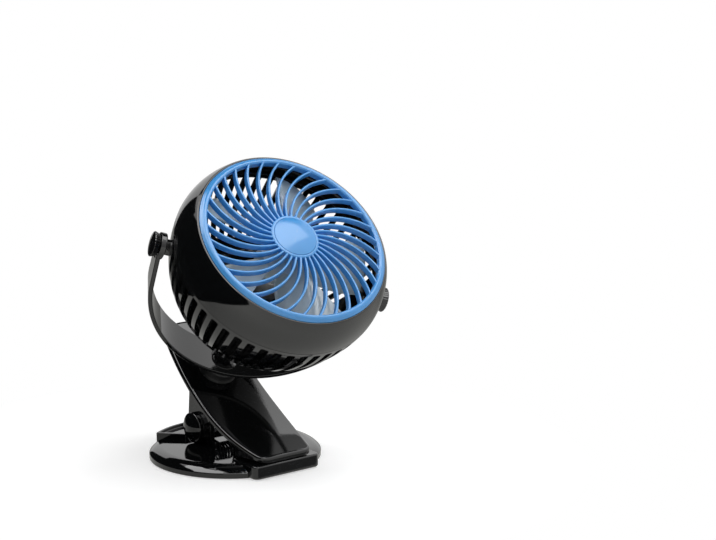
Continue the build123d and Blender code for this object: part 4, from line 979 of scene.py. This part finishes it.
def make_arm():
    """The leaf as a sheet that gets a wall (face, rounded edge and skirt), and its boss."""
    shell = Mesh()
    face = []
    for angle, half in arm_outline(ARM_ROUND):
        face.append([on_arm(half * c, angle, crown_drop(half * c)) for c in ACROSS])
    shell.grid(face)
    skirt = [arm_ring(ARM_ROUND * (1 - sin(a)), ARM_ROUND * (1 - cos(a))) for a in EDGE_QUARTER]
    for k in range(1, ARM_WALL_STEPS + 1):
        skirt.append(arm_ring(0.0, ARM_ROUND + (ARM_DEPTH - ARM_ROUND) * k / ARM_WALL_STEPS))
    shell.grid(skirt, closed_columns=True)
    build(shell, "arm_shell", "arm", stands_for=["arm"], wall=ARM_WALL, edge=0.5, edge_steps=3)

    top = -(YOKE_BOTTOM + BOSS_GAP)
    face_z = -arm_face_drop()
    flare_top = top - BOSS_RIM
    flare_middle = (BOSS_RADIUS + BOSS_FLARE, (flare_top + face_z) / 2 - BOSS_SINK)
    flare_low = (BOSS_FOOT_RADIUS, face_z - BOSS_SINK)
    profile = [(BOSS_BORE, top), (BOSS_RADIUS - BOSS_BEVEL, top), (BOSS_RADIUS, top - BOSS_BEVEL)]
    profile += arc((BOSS_RADIUS, flare_top), flare_middle, flare_low, count=10)
    profile += [(BOSS_FOOT_RADIUS, face_z - BOSS_ROOT), (BOSS_BORE, face_z - BOSS_ROOT)]
    boss = Mesh()
    boss.lathe(profile, steps=96)
    build(boss, "arm_boss", "arm", ARM_AT, material="matt", edge=0.5, edge_steps=3)


# ================================================================ foot
def foot_profile():
    """The disc from its lower rim over the sloped shoulder to the middle."""
    rim_top = FOOT_RIM + FOOT_BEVEL
    middle = (FOOT_RADIUS + FOOT_SHOULDER_RADIUS) / 2
    middle_z = rim_top + (FOOT_SHOULDER - rim_top) * FOOT_SWELL
    shoulder = (FOOT_SHOULDER_RADIUS, FOOT_SHOULDER)
    slope = arc((FOOT_RADIUS - FOOT_BEVEL, rim_top), (middle, middle_z), shoulder, count=16)
    fall = FOOT_SHOULDER - FOOT_CROWN
    crown = [(FOOT_SHOULDER_RADIUS * part, FOOT_CROWN + fall * part) for part in FOOT_CROWN_ROWS]
    return [(FOOT_RADIUS, FOOT_LIFT), (FOOT_RADIUS, FOOT_RIM), *slope, *crown]


def block_outline():
    """The block in plan, with its two front corners rounded."""
    x, y = BLOCK_WIDTH / 2, -FOOT_FRONT
    right = [(x - BLOCK_CORNER * (1 - sin(a)), y + BLOCK_CORNER * (1 - cos(a))) for a in QUARTER]
    return right + [(x, BLOCK_BACK), (-x, BLOCK_BACK)] + [(-x, y) for x, y in reversed(right)]


def rest_outline(inset):
    """The finger rest in plan, narrow at the hinge, with its two rear corners rounded."""
    flare = atan2(REST_CORNER[1] - REST_FRONT, REST_CORNER[0] - REST_NECK)
    inward = inset / sin(flare)
    neck, front = REST_NECK - inward, REST_FRONT + inset
    x, y = REST_CORNER[0] - inward, REST_CORNER[1] - inset / 2
    back = arc((x, y), (0.0, REST_BACK - inset), (-x, y), count=40)
    kept = [point for point in back if abs(point[0]) < x - REST_END]
    corner = [(x + over, y + up) for over, up in REST_ROUNDING]
    left_corner = [(-over, up) for over, up in reversed(corner)]
    return [(-neck, front), (neck, front), *corner, *kept, *left_corner]


def lug_outline():
    """Side view of a foot lug as (y, z): a web under a round eye."""
    y, z = HINGE
    front, rear = y - BARREL_RADIUS, y + BARREL_RADIUS
    angles = [pi * k / LUG_STEPS for k in range(LUG_STEPS + 1)]
    eye = [(y + BARREL_RADIUS * cos(a), z + BARREL_RADIUS * sin(a)) for a in angles]
    toe = front - LUG_REACH
    return [(rear, LUG_ROOT), *eye, (front, LUG_WEB[0]), (toe, LUG_WEB[1]), (toe, LUG_ROOT)]


def make_foot():
    """Disc, block under the arm's tip, finger rest with its dish, and hinge lugs."""
    disc = Mesh()
    middle = Matrix.Translation((0.0, FOOT_CENTRE, 0.0))
    disc.lathe(foot_profile(), steps=256, at=middle, closed=False)
    build(disc, "foot_disc", "base", stands_for=["foot"], edge=0.5, edge_steps=3)

    block = Mesh()
    block.prism(level(block_outline(), FOOT_LIFT), level(block_outline(), BLOCK_TOP))
    build(block, "foot_block", "base", edge=1.5, edge_steps=4)

    rest = Mesh()
    outer, inner = rest_outline(0.0), rest_outline(REST_RIM)
    dish = level(inner, REST_TOP - REST_DISH)
    rim = [level(outer, FOOT_LIFT), level(outer, REST_TOP), level(inner, REST_TOP), dish]
    rest.grid(rim, closed_columns=True)
    rest.add(dish, [tuple(range(len(dish)))])
    build(rest, "finger_rest", "base", edge=0.6, edge_steps=3)

    lugs = Mesh()
    for side in (-1, 1):
        faces = sorted((side * LUG_INNER, side * (LUG_INNER + LUG_THICKNESS)))
        lugs.prism(*([(x, y, z) for y, z in lug_outline()] for x in faces))
    build(lugs, "hinge_lugs", "base", edge=0.4)


def make_hinge():
    for side, name in ((-1, "left"), (1, "right")):
        mesh = Mesh()
        mesh.lathe(domed_disc_profile(BARREL_RADIUS, 0.0, CAP_RIM, CAP_DOME), steps=96)
        place = sideways(side, BARREL_HALF + CAP_GAP, HINGE)
        node = "hinge_cap_" + name
        build(mesh, "hinge_end_" + name, "base", place, [node], edge=0.5, edge_steps=3)


# ================================================================ spring
def spring_angle(turns):
    return radians(-90) - turns * 2 * pi


def spring_point(turns):
    """Point on the coil's middle line, so many turns from its lower leg."""
    angle = spring_angle(turns)
    x = (turns - SPRING_TURNS / 2) * SPRING_PITCH
    y, z = HINGE
    return Vector((x, y + SPRING_RADIUS * cos(angle), z + SPRING_RADIUS * sin(angle)))


def spring_tangent(turns):
    angle = spring_angle(turns)
    rise = SPRING_PITCH / (2 * pi * SPRING_RADIUS)
    return Vector((rise, sin(angle), -cos(angle))).normalized()


def wire(name, points, body, stands_for):
    """Round wire through the given points."""
    rows = []
    for index, point in enumerate(points):
        along = direction(points, index)
        side = along.cross(Vector((1, 0, 0))).normalized()
        up = along.cross(side)
        ring = []
        for k in range(WIRE_STEPS):
            a = 2 * pi * k / WIRE_STEPS
            ring.append(point + (side * cos(a) + up * sin(a)) * SPRING_WIRE / 2)
        rows.append(ring)
    mesh = Mesh()
    mesh.grid(rows, closed_columns=True)
    for end in (rows[0], rows[-1]):
        mesh.add(end, [tuple(range(WIRE_STEPS))])
    build(mesh, name, body, stands_for=stands_for, material="wire", slot="steel", edge=0.2)


def make_spring():
    """The coil and its lower leg stay on the base; the upper leg follows the arm."""
    lower = spring_tangent(0) * SPRING_LOWER_LEG
    leg = [spring_point(0) - lower * (1 - k / LEG_STEPS) for k in range(LEG_STEPS)]
    coil = [spring_point(SPRING_TURNS * k / COIL_STEPS) for k in range(COIL_STEPS + 1)]
    wire("spring_coil", leg + coil, "base", ["clip_spring"])
    upper = spring_tangent(SPRING_TURNS) * SPRING_UPPER_LEG
    leg = [spring_point(SPRING_TURNS) + upper * k / LEG_STEPS for k in range(LEG_STEPS + 1)]
    wire("spring_upper_leg", leg, "arm", ["clip_spring"])


# ================================================================ studio, in metres
WHITE = (1.0, 1.0, 1.0)
CAMERA_AT = (-0.6554, -0.9390, 0.3344)
CAMERA_AZIMUTH = -39.35
CAMERA_HEIGHT = 9.58         # degrees that the camera looks down
CAMERA_LENS = 79.04
CAMERA_SENSOR = 36.0
CAMERA_CLIP = (0.05, 20.0)

FLOOR = ((-3, -1.6), (3, -1.6), (3, 6), (-3, 6))
FLOOR_GLOW = 0.45
FLOOR_FADE = (0.12, 0.26)    # distances at which the paper starts to fade and is all white
PAPER = ((0.80, 0.80, 0.80), (0.83, 0.83, 0.83))
MIRRORED_PAPER = (1.0, 1.0, 0.96)
FLOOR_LEVEL = 0.80           # what shiny surfaces mirror of the floor at x = 0 and this y:
FLOOR_MIDDLE_Y = -0.05
FLOOR_TO_BACK = -3.0         # the change per metre from there towards the back,
FLOOR_TO_RIGHT = -0.7        # and to the right, each within its span
FLOOR_SPAN_Y = (-0.2, 0.03)
FLOOR_SPAN_X = (-0.3, 0.3)

ROOM_LIGHT = 0.30
ROOM_LEVEL = 0.9             # what shiny surfaces mirror at the height of the horizon
ROOM_RISE = 2.0              # and how much brighter the room is overhead

AIM = (0.0, -0.02, 0.12)
# for each lamp: name, place, width, height and power
LAMPS = (
    ("key", (0.38, -0.67, 1.45), 1.3, 1.1, 15.0),
    ("rear_top", (-0.6, 0.5, 1.4), 0.8, 0.8, 6.0),
)
DARK = 0.01
KEY_FACE = ((-0.5, -1.25, 1.3), (0.9, -0.35, 1.1), (1.0, 0.1, 1.9), (-0.5, -0.8, 2.1))
KEY_FACE_GLOW = (8.0, 4.5)
CEILING = 1.5
# for each card at the height of the ceiling: name, plan and brightness
CEILING_CARDS = (
    ("rear_top_face", ((-1.3, -0.5), (-0.2, -0.1), (-0.2, 1.0), (-1.3, 1.0)), 6.5),
    ("ceiling", ((-0.2, -0.1), (1.2, -0.1), (1.2, 2.2), (-0.2, 2.2)), DARK),
    ("ceiling_dim", ((1.2, 0.8), (1.9, 1.26), (1.9, 2.6), (1.2, 2.2)), 0.45),
)
FLAG_HEIGHT = 0.38
FLAG_PLAN = ((-0.37, -0.30), (-0.33, 0.0), (-0.20, 0.23))
FLAG_END = ((-0.20, 0.23, 0.0), (0.09, 0.60, 0.0), (-0.08, 0.42, 0.46), (-0.20, 0.23, 0.40))
# dim low strip just in front of the foot's block, seen only in shiny surfaces: painted shade, the
# floor's contact shadow in the block's reflection
SHADE_STRIP_PLAN = ((-0.03, -0.068), (0.045, -0.068))
SHADE_STRIP_HEIGHT = 0.0095
SHADE_STRIP_GLOW = 0.22


def camera():
    data = bpy.data.cameras.new("camera")
    data.sensor_width = CAMERA_SENSOR
    data.lens = CAMERA_LENS
    data.clip_start, data.clip_end = CAMERA_CLIP
    azimuth, height = radians(CAMERA_AZIMUTH), radians(CAMERA_HEIGHT)
    back = Vector((sin(azimuth) * cos(height), -cos(azimuth) * cos(height), sin(height)))
    right = Vector((cos(azimuth), sin(azimuth), 0.0))
    turned = Matrix((right, back.cross(right), back)).transposed().to_4x4()
    item = link("camera", data)
    item.matrix_world = Matrix.Translation(CAMERA_AT) @ turned
    bpy.context.scene.camera = item


def softbox(name, place, width, height, power):
    """Lamp for the soft light alone; cards stand for it in shiny surfaces."""
    data = bpy.data.lights.new(name, "AREA")
    data.shape = "RECTANGLE"
    data.size = width
    data.size_y = height
    data.energy = power
    item = link(name, data)
    item.location = place
    item.rotation_mode = "QUATERNION"
    item.rotation_quaternion = (Vector(AIM) - Vector(place)).to_track_quat("-Z", "Y")
    item.visible_glossy = False


def flat_sheet(name, corners, material):
    """One flat sheet of the studio."""
    data = bpy.data.meshes.new(name)
    data.from_pydata(corners, [], [(0, 1, 2, 3)])
    data.materials.append(material)
    item = link(name, data)
    return item


def ray_switch(tree, rays, first, second):
    """The second shader for the named kinds of ray, the first for all others."""
    path = add_node(tree, "LightPath")
    chosen = path.outputs[rays[0]]
    for ray in rays[1:]:
        chosen = arithmetic(tree, "MAXIMUM", chosen, path.outputs[ray])
    return mix_shader(tree, chosen, first, second)


def glow(tree, strength, colour=WHITE, kind="Emission"):
    """Output of an Emission or a Background node; strength is a number or a socket."""
    node = add_node(tree, kind, Color=(*colour, 1.0))
    if isinstance(strength, float):
        node.inputs["Strength"].default_value = strength
    else:
        feed(tree, node, Strength=strength)
    return node.outputs[kind]


def floor():
    """Pale paper that fades to pure white away from the object and keeps its shadow."""
    material, tree, shader = new_material("floor_paper")
    shader.inputs["Roughness"].default_value = 0.6
    shader.inputs["Specular IOR Level"].default_value = 0.2
    grain = ramp(tree, noise(tree, scale=14.0, detail=4.0), given=MOTTLE)
    feed(tree, shader, Base_Color=mix_colour(tree, grain, *PAPER))
    paper = shader.outputs["BSDF"]
    lit = add_node(tree, "AddShader")
    tree.links.new(paper, lit.inputs[0])
    tree.links.new(glow(tree, FLOOR_GLOW), lit.inputs[1])
    spot = coordinates(tree, "Object")
    away = add_node(tree, "VectorMath")
    away.operation = "LENGTH"
    tree.links.new(spot, away.inputs[0])
    fade = ramp(tree, away.outputs["Value"], given=FLOOR_FADE)
    faded = mix_shader(tree, fade, lit.outputs["Shader"], glow(tree, 1.0))
    seen = ray_switch(tree, ["Is Camera Ray", "Is Transmission Ray"], paper, faded)
    by_y = [FLOOR_LEVEL + FLOOR_TO_BACK * (y - FLOOR_MIDDLE_Y) for y in FLOOR_SPAN_Y]
    by_x = [FLOOR_TO_RIGHT * x for x in FLOOR_SPAN_X]
    to_back = ramp(tree, along_axis(tree, spot, "Y"), by_y, FLOOR_SPAN_Y)
    to_side = ramp(tree, along_axis(tree, spot, "X"), by_x, FLOOR_SPAN_X)
    mirrored = glow(tree, arithmetic(tree, "ADD", to_back, to_side), MIRRORED_PAPER)
    seen = ray_switch(tree, ["Is Glossy Ray"], seen, mirrored)
    feed(tree, tree.nodes["Material Output"], Surface=seen)
    flat_sheet("floor", level(FLOOR, 0), material)


def card(name, corners, strength, far_strength=None):
    """Reflector that only shows in shiny surfaces, even or fading along its first side."""
    material, tree, _ = new_material(name)
    clear = add_node(tree, "BsdfTransparent").outputs["BSDF"]
    if far_strength is not None:
        along = along_axis(tree, coordinates(tree, "Generated"), "X")
        strength = ramp(tree, along, (strength, far_strength))
    seen = ray_switch(tree, ["Is Glossy Ray"], clear, glow(tree, strength))
    feed(tree, tree.nodes["Material Output"], Surface=seen)
    flat_sheet(name, corners, material).visible_shadow = False


def upright(name, start, end, height, strength):
    """Card that stands on the floor between two places."""
    corners = [(*start, 0.0), (*end, 0.0), (*end, height), (*start, height)]
    card(name, corners, strength)


def surroundings():
    """White to the camera and through clear pieces, a dim room to everything else."""
    world = bpy.data.worlds.new("studio")
    bpy.context.scene.world = world
    world.use_nodes = True
    tree = world.node_tree
    output = next(node for node in tree.nodes if node.type == "OUTPUT_WORLD")
    for node in [node for node in tree.nodes if node.type == "BACKGROUND"]:
        tree.nodes.remove(node)
    height = along_axis(tree, coordinates(tree, "Generated"), "Z")
    square = arithmetic(tree, "MULTIPLY", height, height)
    brightness = ramp(tree, square, (ROOM_LEVEL, ROOM_LEVEL + ROOM_RISE))
    mirrored = glow(tree, brightness, kind="Background")
    dim = glow(tree, ROOM_LIGHT, kind="Background")
    white = glow(tree, 1.0, kind="Background")
    room = ray_switch(tree, ["Is Glossy Ray"], dim, mirrored)
    seen = ray_switch(tree, ["Is Camera Ray", "Is Transmission Ray"], room, white)
    feed(tree, output, Surface=seen)


def studio():
    camera()
    floor()
    surroundings()
    bpy.context.scene.view_settings.view_transform = "Standard"
    for lamp in LAMPS:
        softbox(*lamp)
    card("key_face", KEY_FACE, *KEY_FACE_GLOW)
    for name, plan, strength in CEILING_CARDS:
        card(name, level(plan, CEILING), strength)
    for index, (start, end) in enumerate(zip(FLAG_PLAN, FLAG_PLAN[1:])):
        upright("flag_%d" % index, start, end, FLAG_HEIGHT, DARK)
    # painted shade: a dim strip mirrored in the front of the foot's block
    upright("painted_shade_strip", *SHADE_STRIP_PLAN, SHADE_STRIP_HEIGHT, SHADE_STRIP_GLOW)
    card("flag_end", FLAG_END, DARK)


dress_cad_nodes()
make_front_housing()
make_rear_shell()
make_front_grille()
make_impeller()
make_yoke()
make_knobs()
make_arm()
make_foot()
make_hinge()
make_spring()
studio()
